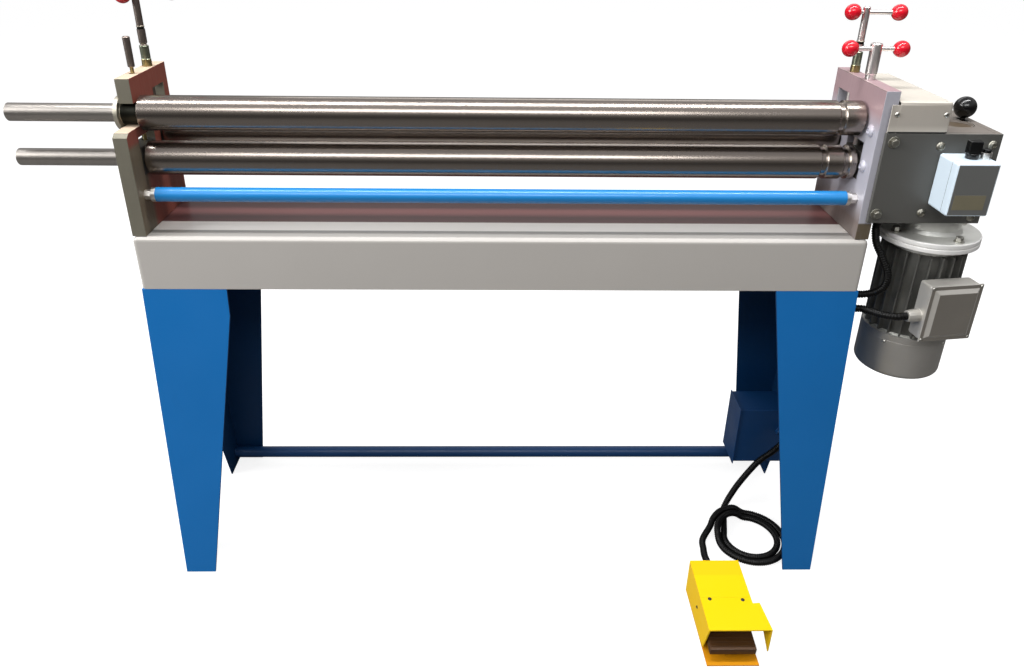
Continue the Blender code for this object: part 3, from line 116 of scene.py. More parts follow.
def add(tree, kind, inputs):
    """A new shader node with these inputs linked or set."""
    return feed(tree, tree.nodes.new("ShaderNode" + kind), inputs)


def cleared_tree(owner):
    """The node tree of a material or a world, emptied."""
    owner.use_nodes = True
    owner.node_tree.nodes.clear()
    return owner.node_tree


def blank_finish(name):
    """A new material with one shader and nothing fed into it."""
    mat = bpy.data.materials.new(name)
    tree = cleared_tree(mat)
    skin = add(tree, "BsdfPrincipled", {})
    add(tree, "OutputMaterial", {"Surface": skin.outputs["BSDF"]})
    return mat, tree, skin


def own_place(tree):
    """The piece's own coordinates."""
    return add(tree, "TexCoord", {}).outputs["Object"]


def cloud(tree, scale, stretch=(1, 1, 1), detail=3, rough=0.5):
    """Noise on the piece's own coordinates, finer along the axes that stretch names."""
    mapping = add(tree, "Mapping", {"Vector": own_place(tree), "Scale": stretch})
    noise = {"Vector": mapping.outputs["Vector"], "Scale": scale, "Detail": detail, "Roughness": rough}
    return add(tree, "TexNoise", noise).outputs["Fac"]


def ramp(tree, fac, low, high, start=0.0, end=1.0):
    """The factor spread from low to high between two values of it."""
    spread = {"Value": fac, "From Min": low, "From Max": high, "To Min": start, "To Max": end}
    return add(tree, "MapRange", spread).outputs["Result"]


def blend_colours(tree, fac, first, second):
    """From the first colour at 0 to the second at 1, each one plain or fed by a socket."""
    first, second = [c if isinstance(c, bpy.types.NodeSocket) else (*c, 1) for c in (first, second)]
    node = tree.nodes.new("ShaderNodeMix")
    node.data_type = "RGBA"
    return feed(tree, node, {"Factor": fac, "A": first, "B": second}).outputs["Result"]


def relief(tree, skin, layers):
    """Bumps the surface by each (height, strength, depth in metres)."""
    before = None
    for height, strength, depth in layers:
        bump = add(tree, "Bump", {"Height": height, "Strength": strength, "Distance": depth})
        if before:
            feed(tree, bump, {"Normal": before})
        before = bump.outputs["Normal"]
    feed(tree, skin, {"Normal": before})


def parted(tree, axis, low, high):
    """0 below one value of a coordinate and 1 above the other."""
    split = add(tree, "SeparateXYZ", {"Vector": own_place(tree)})
    return ramp(tree, split.outputs[axis], low, high)


def spread_about(tree, scale, detail, rough, below, above):
    """A roughness that drifts a little about its value."""
    return ramp(tree, cloud(tree, scale, detail=detail), 0.3, 0.7, rough - below, rough + above)


def tinted(tree, base, parts):
    """Another colour past each part, given as an axis, two values of it and the colour."""
    for axis, low, high, other in parts:
        base = blend_colours(tree, parted(tree, axis, low, high), base, other)
    return base


def shade(colour, factor):
    """A colour made darker or lighter, never past white."""
    return tuple(min(1.0, c * factor) for c in colour)


def drifting(tree, fac, colour, low, high):
    """One colour, darker where the factor is 0 and lighter where it is 1."""
    return blend_colours(tree, fac, shade(colour, low), shade(colour, high))


def flecked(tree, base, other, noise, low, high, most):
    """Another colour in the peaks of the noise, with the share that it has at most."""
    return blend_colours(tree, ramp(tree, noise, low, high, 0.0, most), base, other)


def sprayed_paint(name, colour, rough, coat, mottle, dust, gloss=0.5, parts=()):
    """Sprayed gloss over sheet or iron: orange peel, slow colour drift, dust and handling marks."""
    mat, tree, skin = blank_finish(name)
    base = drifting(tree, cloud(tree, 3.5, detail=4), colour, 1 - mottle, 1 + mottle)
    base = tinted(tree, base, parts)
    base = flecked(tree, base, shade(colour, 0.72), cloud(tree, 26, (1, 1, 0.4), 6, 0.7), 0.58, 0.80, dust)
    base = flecked(tree, base, shade(colour, 0.6), cloud(tree, 520, detail=1), 0.72, 0.80, dust * 0.6)
    feed(tree, skin, {"Base Color": base, "Roughness": spread_about(tree, 14, 5, rough, 0.05, 0.08),
                      "Coat Weight": coat, "Coat Roughness": 0.12, "Specular IOR Level": gloss})
    relief(tree, skin, [(cloud(tree, 240, detail=2), 0.12, 0.0004), (cloud(tree, 9, detail=2), 0.10, 0.002)])
    return mat


def ground_metal(name, colour, rough, along, drift=0.10, grain=0.03, swing=0.02):
    """Bright metal ground or turned about the axis that `along` stretches."""
    mat, tree, skin = blank_finish(name)
    rings = cloud(tree, 1, tuple(700 * a + 3 for a in along), 2, 0.6)
    bands = cloud(tree, 1, tuple(60 * a + 1 for a in along), 3, 0.6)
    base = drifting(tree, bands, colour, 1 - drift, 1 + drift)
    base = flecked(tree, base, shade(colour, 0.7), cloud(tree, 16, detail=6, rough=0.7), 0.60, 0.85, 0.35)
    feed(tree, skin, {"Base Color": base, "Roughness": ramp(tree, rings, 0.25, 0.75, rough - swing, rough + swing),
                      "Metallic": 1.0})
    relief(tree, skin, [(rings, grain, 0.0001)])
    return mat


def milled_iron(name, colour, rough, metal=0.75, drift=0.14, parts=()):
    """Milled plate with faint cutter tracks, oil stains and a dull grain, in another colour past each part."""
    mat, tree, skin = blank_finish(name)
    tracks = cloud(tree, 1, (260, 260, 9), 2, 0.6)
    base = drifting(tree, cloud(tree, 11, detail=6, rough=0.65), colour, 1 - drift, 1 + drift)
    base = tinted(tree, base, parts)
    base = flecked(tree, base, shade(colour, 0.55), cloud(tree, 45, (1, 1, 0.5), 5, 0.7), 0.58, 0.78, 0.30)
    feed(tree, skin, {"Base Color": base, "Roughness": ramp(tree, tracks, 0.3, 0.7, rough - 0.06, rough + 0.08),
                      "Metallic": metal})
    relief(tree, skin, [(tracks, 0.12, 0.0003), (cloud(tree, 300, detail=2), 0.08, 0.0003)])
    return mat


def cast_silver(name, colour, rough, metal=0.55):
    """Aluminium casting under a thin silver paint: fine pitting and soft flow marks."""
    mat, tree, skin = blank_finish(name)
    base = drifting(tree, cloud(tree, 9, detail=5, rough=0.6), colour, 0.88, 1.1)
    base = flecked(tree, base, shade(colour, 0.55), cloud(tree, 900, detail=1), 0.68, 0.78, 0.15)
    feed(tree, skin, {"Base Color": base, "Roughness": spread_about(tree, 60, 3, rough, 0.06, 0.08),
                      "Metallic": metal})
    relief(tree, skin, [(cloud(tree, 800, detail=2), 0.12, 0.0001), (cloud(tree, 40, detail=2), 0.06, 0.0005)])
    return mat


def moulded_plastic(name, colour, rough, coat, grain=320):
    """Moulded plastic or rubber with a fine grain and smears of handling."""
    mat, tree, skin = blank_finish(name)
    base = drifting(tree, cloud(tree, 20, detail=3), colour, 0.85, 1.15)
    smear = tuple(0.7 * c + 0.03 for c in colour)
    base = flecked(tree, base, smear, cloud(tree, 55, detail=6, rough=0.7), 0.55, 0.8, 0.2)
    feed(tree, skin, {"Base Color": base, "Roughness": spread_about(tree, 75, 3, rough, 0.04, 0.08),
                      "Coat Weight": coat, "Coat Roughness": 0.08})
    relief(tree, skin, [(cloud(tree, grain, detail=2), 0.10, 0.0003)])
    return mat


def ribbed_rubber(name, colour, rough):
    """Black hose wall: dust flecks and a dull sheen."""
    mat, tree, skin = blank_finish(name)
    base = drifting(tree, cloud(tree, 30, detail=4), colour, 0.7, 1.5)
    dust = (0.03, 0.028, 0.025)
    base = flecked(tree, base, dust, cloud(tree, 130, detail=5, rough=0.7), 0.58, 0.8, 0.12)
    feed(tree, skin, {"Base Color": base, "Roughness": spread_about(tree, 90, 3, rough, 0.05, 0.1),
                      "Specular IOR Level": 0.22})
    relief(tree, skin, [(cloud(tree, 900, detail=2), 0.15, 0.0002)])
    return mat


def bed_top_paint(name, pale, mauve):
    """The bed's glossy top, lighter than its front as painted light: a white lip, a grey line, a pale strip
    brightened as painted light where the rolls shade it, and a duller mauve behind.
    """
    mat, tree, skin = blank_finish(name)
    drift = cloud(tree, 3, detail=2)
    # The second band is the strip under the rolls' front, brightened past the bed's colour as painted light
    bands = ((-0.007, -0.004, pale, 0.60, 0.66), (0.027, 0.030, pale, 1.84, 1.90), (0.071, 0.075, mauve, 0.92, 1.08))
    base = drifting(tree, drift, shade(pale, 1.75), 0.97, 1)
    for start, end, colour, low, high in bands:
        base = tinted(tree, base, [("Y", start, end, drifting(tree, drift, colour, low, high))])
    feed(tree, skin, {"Base Color": base, "Roughness": spread_about(tree, 3, 2, 0.32, 0.02, 0.02),
                      "Coat Weight": 0.2, "Coat Roughness": 0.10})
    relief(tree, skin, [(cloud(tree, 220, detail=2), 0.05, 0.0002)])
    return mat


FINISHES = {}


def make_finishes(look):
    """One material for each finish of the machine, by the name that the pieces use."""
    tables = {
        sprayed_paint: {
            "leg_blue": ("leg_blue_paint", look.leg_blue, 0.40, 0.05, 0.08, 0.20, 0.35),
            "leg_shadow": ("leg_shadow_paint", look.leg_shadow, 0.46, 0.0, 0.10, 0.20, 0.3),
            "box_blue": ("box_blue_paint", look.box_blue, 0.44, 0.05, 0.10, 0.20),
            "rod_blue": ("rod_blue_paint", look.rod_blue, 0.38, 0.4, 0.05, 0.10),
            "bed_pale": ("bed_pale_paint", look.bed_pale, 0.42, 0.10, 0.03, 0.06),
            "cover_cream": ("cover_cream_paint", look.cover_cream, 0.42, 0.05, 0.03, 0.08),
            # painted shade: the cover's front darker than its cream; a cream band along the lower bend as a painted
            # highlight, and near black below it
            "cover_front": ("cover_front_paint", look.cover_front, 0.42, 0.10, 0.06, 0.14, 0.5,
                            (("Z", 0.990, 0.980, look.cover_cream), ("Z", 0.9785, 0.9775, (0.02, 0.02, 0.02)))),
            "case_grey": ("case_grey_paint", look.case_grey, 0.42, 0.1, 0.08, 0.20),
            # painted light: the gear case's upward faces lighter than its grey, where light falls on them
            "case_top": ("case_top_paint", look.case_top, 0.42, 0.1, 0.08, 0.30),
            "guard_yellow": ("guard_yellow_paint", look.guard_yellow, 0.44, 0.0, 0.02, 0.05, 0.2),
            "guard_back": ("guard_lap_paint", look.guard_back, 0.46, 0.0, 0.02, 0.05, 0.15),
            # painted light and shade: the guard's roof faces in a yellow of their own for how light falls on them,
            # and the roof's back part in the back yellow
            "guard_roof": ("guard_roof_paint", look.guard_roof, 0.46, 0.0, 0.02, 0.05, 0.15,
                           (("Y", -0.175, -0.170, look.guard_back),)),
            "tray_orange": ("tray_orange_paint", look.tray_orange, 0.44, 0.0, 0.10, 0.25, 0.2),
            "box_mist": ("box_mist_enamel", look.box_mist, 0.38, 0.1, 0.03, 0.06),
            # painted shade: the switch box's front in a darker copy of its enamel, for a face turned from the light
            "box_front": ("box_shadow_enamel", look.box_front, 0.38, 0.1, 0.03, 0.08),
        },
        bed_top_paint: {
            # painted light on the bed's top
            "bed_top": ("bed_top_paint", look.bed_pale, look.bed_mauve),
        },
        ground_metal: {
            "roll_steel": ("roll_ground_steel", look.roll_steel, 0.24, (1, 0, 0), 0.04, 0.006, 0.006),
            "shaft_steel": ("shaft_turned_steel", look.shaft_steel, 0.34, (1, 0, 0)),
            "screw_steel": ("screw_turned_steel", look.screw_steel, 0.34, (0, 0, 1), 0.06),
            "screw_brown": ("screw_browned_steel", look.screw_brown, 0.36, (0, 0, 1), 0.08),
            "nut_zinc": ("nut_green_zinc", look.nut_zinc, 0.32, (0, 0, 1), 0.08),
            "neck_brass": ("neck_brassy_zinc", (0.42, 0.34, 0.16), 0.34, (0, 0, 1)),
            "bolt_zinc": ("bolt_zinc", (0.50, 0.49, 0.45), 0.30, (0.2, 0.2, 0.2)),
            "bolt_dull": ("bolt_dull_zinc", (0.30, 0.29, 0.25), 0.46, (0.2, 0.2, 0.2)),
            "bolt_bright": ("bolt_bright_zinc", (0.85, 0.82, 0.78), 0.34, (0.2, 0.2, 0.2)),
            "bush_bronze": ("bush_bronze", (0.34, 0.25, 0.16), 0.36, (1, 0, 0)),
            "bush_pale": ("bush_pale_steel", (0.62, 0.58, 0.48), 0.42, (1, 0, 0)),
            "bush_dark": ("bush_dark_steel", (0.022, 0.022, 0.018), 0.46, (1, 0, 0)),
        },
        moulded_plastic: {
            "bolt_black": ("bolt_blacked", (0.02, 0.018, 0.016), 0.38, 0.05),
            "ball_red": ("ball_red_plastic", look.ball_red, 0.18, 0.4, 60),
            "knob_black": ("knob_black_plastic", (0.0020, 0.0020, 0.0023), 0.17, 0.10, 60),
            "treadle_brown": ("treadle_brown_rubber", (0.060, 0.023, 0.004), 0.48, 0.05, 240),
            "label_beige": ("label_blank_film", (0.20, 0.18, 0.12), 0.35, 0.1, 200),
            # painted shade: the cap's dished middle in dark brown, for the shade down the hole
            "slot_brown": ("slot_worn_iron", (0.09, 0.065, 0.040), 0.5, 0.0),
        },
        milled_iron: {
            "frame_iron": ("frame_milled_iron", look.frame_iron, 0.46, 0.4),
            "frame_top": ("frame_top_primer", look.frame_top, 0.50, 0.1, 0.08),
            "frame_low": ("frame_low_cheek", look.frame_olive, 0.50, 0.15, 0.12,
                          (("Y", 0.045, 0.060, look.frame_red), ("Z", 0.930, 0.940, look.frame_red))),
            # painted reflection: lavender rising to mauve at the top, for what the right frame's polished inner side
            # reflects; brownish below Z 0.80
            "frame_mauve": ("frame_mauve_iron", look.frame_lavender, 0.42, 0.2, 0.08,
                            (("Z", 0.970, 1.005, look.frame_mauve), ("Z", 0.845, 0.800, (0.22, 0.18, 0.165)))),
            # painted reflection: the right frame's front in lavender; olive below Z 0.80
            "frame_lavender": ("frame_lavender_iron", look.frame_lavender, 0.42, 0.2, 0.06,
                               (("Z", 0.802, 0.799, look.frame_olive),)),
            "block_iron": ("block_milled_iron", (0.12, 0.115, 0.105), 0.48),
            "gear_iron": ("gear_cut_iron", (0.20, 0.19, 0.17), 0.40),
        },
        cast_silver: {
            "motor_silver": ("motor_cast_silver", look.motor_silver, 0.36),
            # painted shade: the finned body in a dark silver, for the shade between its fins and under the bed and
            # legs
            "fin_silver": ("fin_cast_silver", look.fin_silver, 0.44),
            "cowl_silver": ("cowl_pressed_silver", look.cowl_silver, 0.42),
            "terminal_silver": ("terminal_cast_silver", look.terminal_silver, 0.40),
            # painted shade: the terminal lid's front faces in a darker copy of its silver
            "terminal_front": ("terminal_lid_silver", look.terminal_front, 0.40),
            "flange_bright": ("flange_turned_bright", (0.90, 0.89, 0.87), 0.36, 0.15),
        },
        ribbed_rubber: {
            "hose_black": ("hose_black_rubber", (0.0022, 0.0022, 0.0022), 0.36),
        },
    }
    for maker, rows in tables.items():
        for finish, row in rows.items():
            FINISHES[finish] = maker(*row)


# ---------------------------------------------------------------- shaping

def linked(name, data):
    """A new object in the scene."""
    obj = bpy.data.objects.new(name, data)
    bpy.context.scene.collection.objects.link(obj)
    return obj


def deselect():
    """Nothing selected, so that an operator acts only on what follows."""
    bpy.ops.object.select_all(action="DESELECT")


def pick(obj):
    """One object selected and active."""
    deselect()
    obj.select_set(True)
    bpy.context.view_layer.objects.active = obj


def edit_all():
    """Edit mode with everything selected."""
    bpy.ops.object.mode_set(mode="EDIT")
    bpy.ops.mesh.select_all(action="SELECT")


def settle(obj):
    """The object back to the origin, its place in its mesh."""
    pick(obj)
    bpy.ops.object.transform_apply(location=True, rotation=True, scale=True)


def soften(obj, width, segments=2):
    """Rounds the sharp edges and shades the rest smooth."""
    pick(obj)
    if width:
        bevel = obj.modifiers.new("edge", "BEVEL")
        bevel.width = width
        bevel.segments = segments
        bevel.limit_method = "ANGLE"
        bevel.angle_limit = math.radians(28)
        bevel.use_clamp_overlap = True
        bpy.ops.object.modifier_apply(modifier=bevel.name)
    bpy.ops.object.shade_smooth_by_angle(angle=math.radians(34))
    even = obj.modifiers.new("even", "WEIGHTED_NORMAL")
    even.keep_sharp = True
    bpy.ops.object.modifier_apply(modifier=even.name)


def dress(obj, name, finish, node=None, body="machine"):
    """Names a finished piece, gives it its material and body, and hides the solid it stands for."""
    obj.name = obj.data.name = name
    obj.data.materials.clear()
    obj.data.materials.append(FINISHES[finish])
    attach(obj, BODY_OF[node] if node else body)
    if node:
        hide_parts(node)
    return obj


def lathe(stations, place, steps=96, edge=0.0004):
    """Spins a profile of (height, radius) stations about Z, then puts it in place."""
    deselect()
    bpy.ops.mesh.primitive_plane_add(size=0.001, location=(0, 0, 0))
    obj = bpy.context.object
    bpy.ops.object.mode_set(mode="EDIT")
    bpy.ops.mesh.merge(type="CENTER")
    height, radius = stations[0]
    bpy.ops.transform.translate(value=(radius, 0, height))
    for (z0, r0), (z1, r1) in zip(stations, stations[1:]):
        bpy.ops.mesh.extrude_region_move(TRANSFORM_OT_translate={"value": (r1 - r0, 0, z1 - z0)})
    bpy.ops.mesh.select_all(action="SELECT")
    bpy.ops.mesh.spin(steps=steps, angle=2 * math.pi, center=(0, 0, 0), axis=(0, 0, 1))
    bpy.ops.mesh.select_all(action="SELECT")
    bpy.ops.mesh.remove_doubles(threshold=0.000002)
    bpy.ops.mesh.normals_make_consistent(inside=False)
    bpy.ops.object.mode_set(mode="OBJECT")
    obj.matrix_world = place
    settle(obj)
    soften(obj, edge)
    return obj


def solid(stations):
    """Closes a turned profile on its axis at both ends."""
    return [(stations[0][0], 0)] + list(stations) + [(stations[-1][0], 0)]


def ring(outer, inner, top, low):
    """Closed profile of a plain ring."""
    return [(top, inner), (top, outer), (low, outer), (low, inner), (top, inner)]


def bevelled_box(low, high, edge, segments=3):
    """A box between two corners in the machine's frame, with rounded edges."""
    low, high = Vector(low), Vector(high)
    size, middle = high - low, (high + low) / 2
    deselect()
    bpy.ops.mesh.primitive_cube_add(size=1, location=(0, 0, 0))
    obj = bpy.context.object
    edit_all()
    bpy.ops.transform.resize(value=size)
    bpy.ops.mesh.bevel(offset=edge, segments=segments, affect="EDGES")
    bpy.ops.object.mode_set(mode="OBJECT")
    obj.matrix_world = at(*middle)
    settle(obj)
    soften(obj, 0)
    return obj


def box_about(low, high, edge, segments):
    """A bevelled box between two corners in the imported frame."""
    return bevelled_box(Vector(low) + FOOTPRINT_MIDDLE, Vector(high) + FOOTPRINT_MIDDLE, edge, segments)


def recut(node, name, finish, edge=0.0008, segments=2):
    """A dressed copy of a solid, with its flat faces whole again and its edges rounded."""
    obj = linked(node + "_copy", NODES[node].data.copy())
    pick(obj)
    edit_all()
    bpy.ops.mesh.remove_doubles(threshold=0.00001)
    bpy.ops.mesh.dissolve_limited(angle_limit=math.radians(0.6))
    bpy.ops.object.mode_set(mode="OBJECT")
    soften(obj, edge, segments)
    return dress(obj, name, finish, node)


def paint_faces(obj, finish, wanted):
    """A second material on the faces whose centre and normal pass the test."""
    obj.data.materials.append(FINISHES[finish])
    index = len(obj.data.materials) - 1
    for face in obj.data.polygons:
        if wanted(face.center, face.normal):
            face.material_index = index


def copies(model, base_name, places, finish):
    """A small fastener like the model at each place, each with its own mesh. The model itself goes."""
    for number, place in enumerate(places, 1):
        obj = linked(f"{base_name}_{number}", model.data.copy())
        obj.data.transform(place)
        dress(obj, obj.name, finish)
    bpy.data.objects.remove(model)


def hex_head(across, height, washer=0.0, thick=0.0015):
    """Hexagon head with a chamfered crown, on a washer where one is asked for."""
    deselect()
    bpy.ops.mesh.primitive_cylinder_add(vertices=6, radius=across / math.sqrt(3), depth=height,
                                        location=(0, 0, height / 2 + (thick if washer else 0)))
    head = bpy.context.object
    bpy.ops.object.mode_set(mode="EDIT")
    bpy.ops.mesh.select_all(action="DESELECT")
    bpy.ops.object.mode_set(mode="OBJECT")
    top = max(head.data.polygons, key=lambda f: f.center.z)
    top.select = True
    bpy.ops.object.mode_set(mode="EDIT")
    bpy.ops.mesh.inset(thickness=across * 0.10, depth=height * 0.12)
    bpy.ops.mesh.inset(thickness=across * 0.06, depth=-height * 0.05)
    bpy.ops.object.mode_set(mode="OBJECT")
    settle(head)
    soften(head, 0.0003)
    if washer:
        disc = lathe(solid([(thick, washer - 0.0004), (thick - 0.0004, washer), (0, washer)]),
                     UNTURNED, 40, 0)
        join([head, disc])
    return head


def dome_head(radius, height, washer=0.0):
    """Domed screw head with a hexagon socket, on a washer where one is asked for."""
    base = 0.0012 if washer else 0
    rows = [(base + height * 0.55, radius * 0.42), (base + height, radius * 0.46)]
    rows += [(base + height * math.cos(a), radius * math.sin(a)) for a in np.linspace(0.55, math.pi / 2, 6)]
    rows += [(base, radius)]
    if washer:
        rows += [(base, washer), (0, washer)]
    return lathe(solid(rows), UNTURNED, 36, 0.0002)


def cross_head(radius, height):
    """Small pan head with a cross cut into it."""
    rows = [(height * math.cos(a), radius * math.sin(a)) for a in np.linspace(0.2, math.pi / 2, 6)]
    head = lathe(solid(rows + [(0, radius)]), UNTURNED, 32, 0)
    for turn in (0, math.pi / 2):
        deselect()
        bpy.ops.mesh.primitive_cube_add(size=1, location=(0, 0, height), rotation=(0, 0, turn))
        blade = bpy.context.object
        blade.scale = (radius * 1.15, radius * 0.26, height * 0.9)
        settle(blade)
        cut(head, blade)
    return head


def cut(obj, tool):
    """Takes the tool's shape out of the object. The tool goes."""
    pick(obj)
    boolean = obj.modifiers.new("cut", "BOOLEAN")
    boolean.operation = "DIFFERENCE"
    boolean.object = tool
    boolean.solver = "EXACT"
    bpy.ops.object.modifier_apply(modifier=boolean.name)
    bpy.data.objects.remove(tool)


def join(objects):
    """All of them in the first one."""
    deselect()
    for obj in objects:
        obj.select_set(True)
    bpy.context.view_layer.objects.active = objects[0]
    bpy.ops.object.join()
    return objects[0]


def smooth_path(points, count):
    """Points at equal steps along a smooth curve through the chosen points, and the curve's length."""
    given = [Vector(p) for p in points]
    given = [2 * given[0] - given[1]] + given + [2 * given[-1] - given[-2]]
    fine = []
    for p0, p1, p2, p3 in zip(given, given[1:], given[2:], given[3:]):
        for k in range(16):
            t = k / 16
            fine.append(0.5 * (2 * p1 + (p2 - p0) * t + (2 * p0 - 5 * p1 + 4 * p2 - p3) * t ** 2
                               + (3 * p1 - p0 - 3 * p2 + p3) * t ** 3))
    fine.append(given[-2])
    reach = [0.0]
    for a, b in zip(fine, fine[1:]):
        reach.append(reach[-1] + (b - a).length)
    want = np.linspace(0, reach[-1], count)
    columns = [np.interp(want, reach, [p[i] for p in fine]) for i in range(3)]
    return [Vector(p) for p in zip(*columns)], reach[-1]


def ribbed_curve(name, points, pitch, radius):
    """A curve whose bevel swells and narrows once a rib, and its path."""
    ribs = round(smooth_path(points, 2)[1] / pitch)
    path = smooth_path([p - FOOTPRINT_MIDDLE for p in map(Vector, points)], 4 * ribs + 1)[0]
    curve = bpy.data.curves.new(name, "CURVE")
    curve.dimensions = "3D"
    curve.bevel_depth = radius
    curve.bevel_resolution = 3
    curve.use_fill_caps = True
    spline = curve.splines.new("POLY")
    spline.points.add(len(path) - 1)
    for k, (point, place) in enumerate(zip(spline.points, path)):
        point.co = (*place, 1)
        point.radius = (1.0, 0.96, HOSE_ROOT, 0.96)[k % 4]
    spline.use_smooth = True
    return linked(name, curve), path


# ---------------------------------------------------------------- sizes and colours a user may change

def colour(name, what, default):
    """A colour in the panel."""
    return bpy.props.FloatVectorProperty(name=name, description=what, default=default, subtype="COLOR",
                                         min=0, max=1)


def size(name, what, default, low, high):
    """A length in the panel."""
    return bpy.props.FloatProperty(name=name, description=what, default=default, min=low, max=high,
                                   unit="LENGTH", precision=4)


class PlateRollColours(bpy.types.PropertyGroup):
    leg_blue: colour("Leg blue", "Paint of the pedestals and tube", (0.004, 0.145, 0.440))
    leg_shadow: colour("Leg shadow", "Inner sides of the pedestals", (0.003, 0.040, 0.130))
    box_blue: colour("Box blue", "Paint of the electrical box", (0.004, 0.045, 0.150))
    rod_blue: colour("Rod blue", "Paint of the front tie rod", (0.006, 0.215, 0.560))
    bed_pale: colour("Bed", "Paint of the folded bed", (0.50, 0.475, 0.445))
    bed_mauve: colour("Bed top", "Duller paint on top of the bed", (0.135, 0.050, 0.048))
    cover_cream: colour("Cover", "Paint of the gear cover", (0.59, 0.55, 0.485))
    # Painted shade: the cover's front, darker than its cream
    cover_front: colour("Cover front", "Paint of the cover's front", (0.46, 0.42, 0.37))
    case_grey: colour("Gear case", "Paint of the gear case", (0.095, 0.093, 0.085))
    # Painted light: the gear case's top, lighter where light falls on it
    case_top: colour("Case top", "Worn top of the gear case", (0.19, 0.165, 0.145))
    guard_yellow: colour("Guard", "Paint of the foot switch's guard", (0.92, 0.58, 0.012))
    # Painted light and shade on the guard's roof
    guard_roof: colour("Guard roof", "Its roof", (0.78, 0.54, 0.001))
    guard_back: colour("Guard back", "The back of its roof", (0.84, 0.50, 0.003))
    tray_orange: colour("Tray", "Paint of the foot switch's tray", (0.60, 0.24, 0.004))
    box_mist: colour("Switch box", "Enamel of the switch box", (0.66, 0.77, 0.86))
    # Painted shade: the switch box's front, darker than its enamel
    box_front: colour("Switch box front", "Its shaded front", (0.140, 0.143, 0.138))
    roll_steel: colour("Rolls", "Ground steel of the rolls", (0.30, 0.262, 0.232))
    shaft_steel: colour("Shafts", "Turned steel of shafts and screws", (0.42, 0.39, 0.36))
    screw_steel: colour("Right screws", "Turned steel of the right screws", (0.92, 0.88, 0.86))
    screw_brown: colour("Left screws", "Browner steel of the left screws", (0.30, 0.25, 0.22))
    nut_zinc: colour("Nuts", "Zinc of the rear nuts", (0.34, 0.38, 0.28))
    frame_iron: colour("Frames", "Milled iron of the side frames", (0.215, 0.200, 0.155))
    frame_top: colour("Frame top", "Primer on top of the left frame", (0.62, 0.48, 0.36))
    frame_red: colour("Frame red", "Oxide red of the left frame's inner side", (0.230, 0.062, 0.042))
    frame_olive: colour("Frame olive", "Front of the left frame's inner cheek", (0.140, 0.110, 0.072))
    # Painted reflections on the right frame's polished plate
    frame_mauve: colour("Frame mauve", "Upper inner side of the right frame", (0.42, 0.29, 0.31))
    frame_lavender: colour("Frame lavender", "Lower inner side of the right frame", (0.52, 0.515, 0.58))
    motor_silver: colour("Motor", "Silver paint of the motor", (0.80, 0.80, 0.76))
    # Painted shade: the finned body dark, for the shade between the fins
    fin_silver: colour("Fins", "Silver paint between the motor's fins", (0.14, 0.14, 0.13))
    cowl_silver: colour("Cowl", "Silver paint of the fan cowl", (0.40, 0.385, 0.36))
    terminal_silver: colour("Terminal box", "Silver paint of the terminal box", (0.55, 0.53, 0.49))
    # Painted shade: the terminal lid's front, darker than the box's silver
    terminal_front: colour("Terminal lid", "Its shaded front", (0.32, 0.295, 0.26))
    ball_red: colour("Balls", "Plastic of the ball knobs", (0.64, 0.004, 0.018))


class PlateRollSizes(bpy.types.PropertyGroup):
    hose_radius: size("Hose radius", "Over the ribs", HOSE_R, 0.003, 0.02)
    hose_pitch: size("Rib pitch", "From one rib of a hose to the next", 0.0046, 0.002, 0.01)
    roll_radius: size("Roll radius", "Of the three rolls", 0.032, 0.02, 0.05)
    plate_edge: size("Plate edge", "Rounding of the thick plates' edges", 0.0010, 0.0002, 0.003)
    sheet_edge: size("Sheet edge", "Rounding of the folded sheets' edges", 0.0007, 0.0002, 0.0014)


def colours():
    return bpy.context.scene.plate_roll_colours


def sizes():
    return bpy.context.scene.plate_roll_sizes


# ---------------------------------------------------------------- pieces

class PLATEROLL_OT_camera(bpy.types.Operator):
    """Camera at the photograph's place"""
    bl_idname = "plateroll.camera"
    bl_label = "Camera"

    def execute(self, context):
        pitch, yaw, roll = math.radians(26.22), math.radians(1.21), math.radians(-0.72)
        ahead = Vector((math.sin(yaw) * math.cos(pitch), math.cos(yaw) * math.cos(pitch), -math.sin(pitch)))
        level = Vector((math.cos(yaw), -math.sin(yaw), 0))
        down = ahead.cross(level)
        right = math.cos(roll) * level + math.sin(roll) * down
        up = math.sin(roll) * level - math.cos(roll) * down
        data = bpy.data.cameras.new("photo_camera")
        data.sensor_width = 36
        data.lens = 28.185
        data.shift_x = 0.0036
        data.shift_y = -0.0425
        data.clip_end = 60
        camera = linked("photo_camera", data)
        turn = Matrix((right, up, -ahead)).transposed().to_4x4()
        camera.matrix_world = Matrix.Translation((-0.0349, -1.4005, 1.3444)) @ turn
        context.scene.camera = camera
        return {"FINISHED"}


def terminal_seat():
    """The terminal box's turn, the way that it faces and its middle."""
    turn = Matrix.Rotation(TERMINAL_TURN, 4, "Z")
    outward = turn.to_3x3() @ Vector((0, -1, 0))
    return turn, outward, Vector((MOTOR_X, MOTOR_Y, TERMINAL_Z)) + outward * (0.079 + FIT + TERMINAL_HALF)


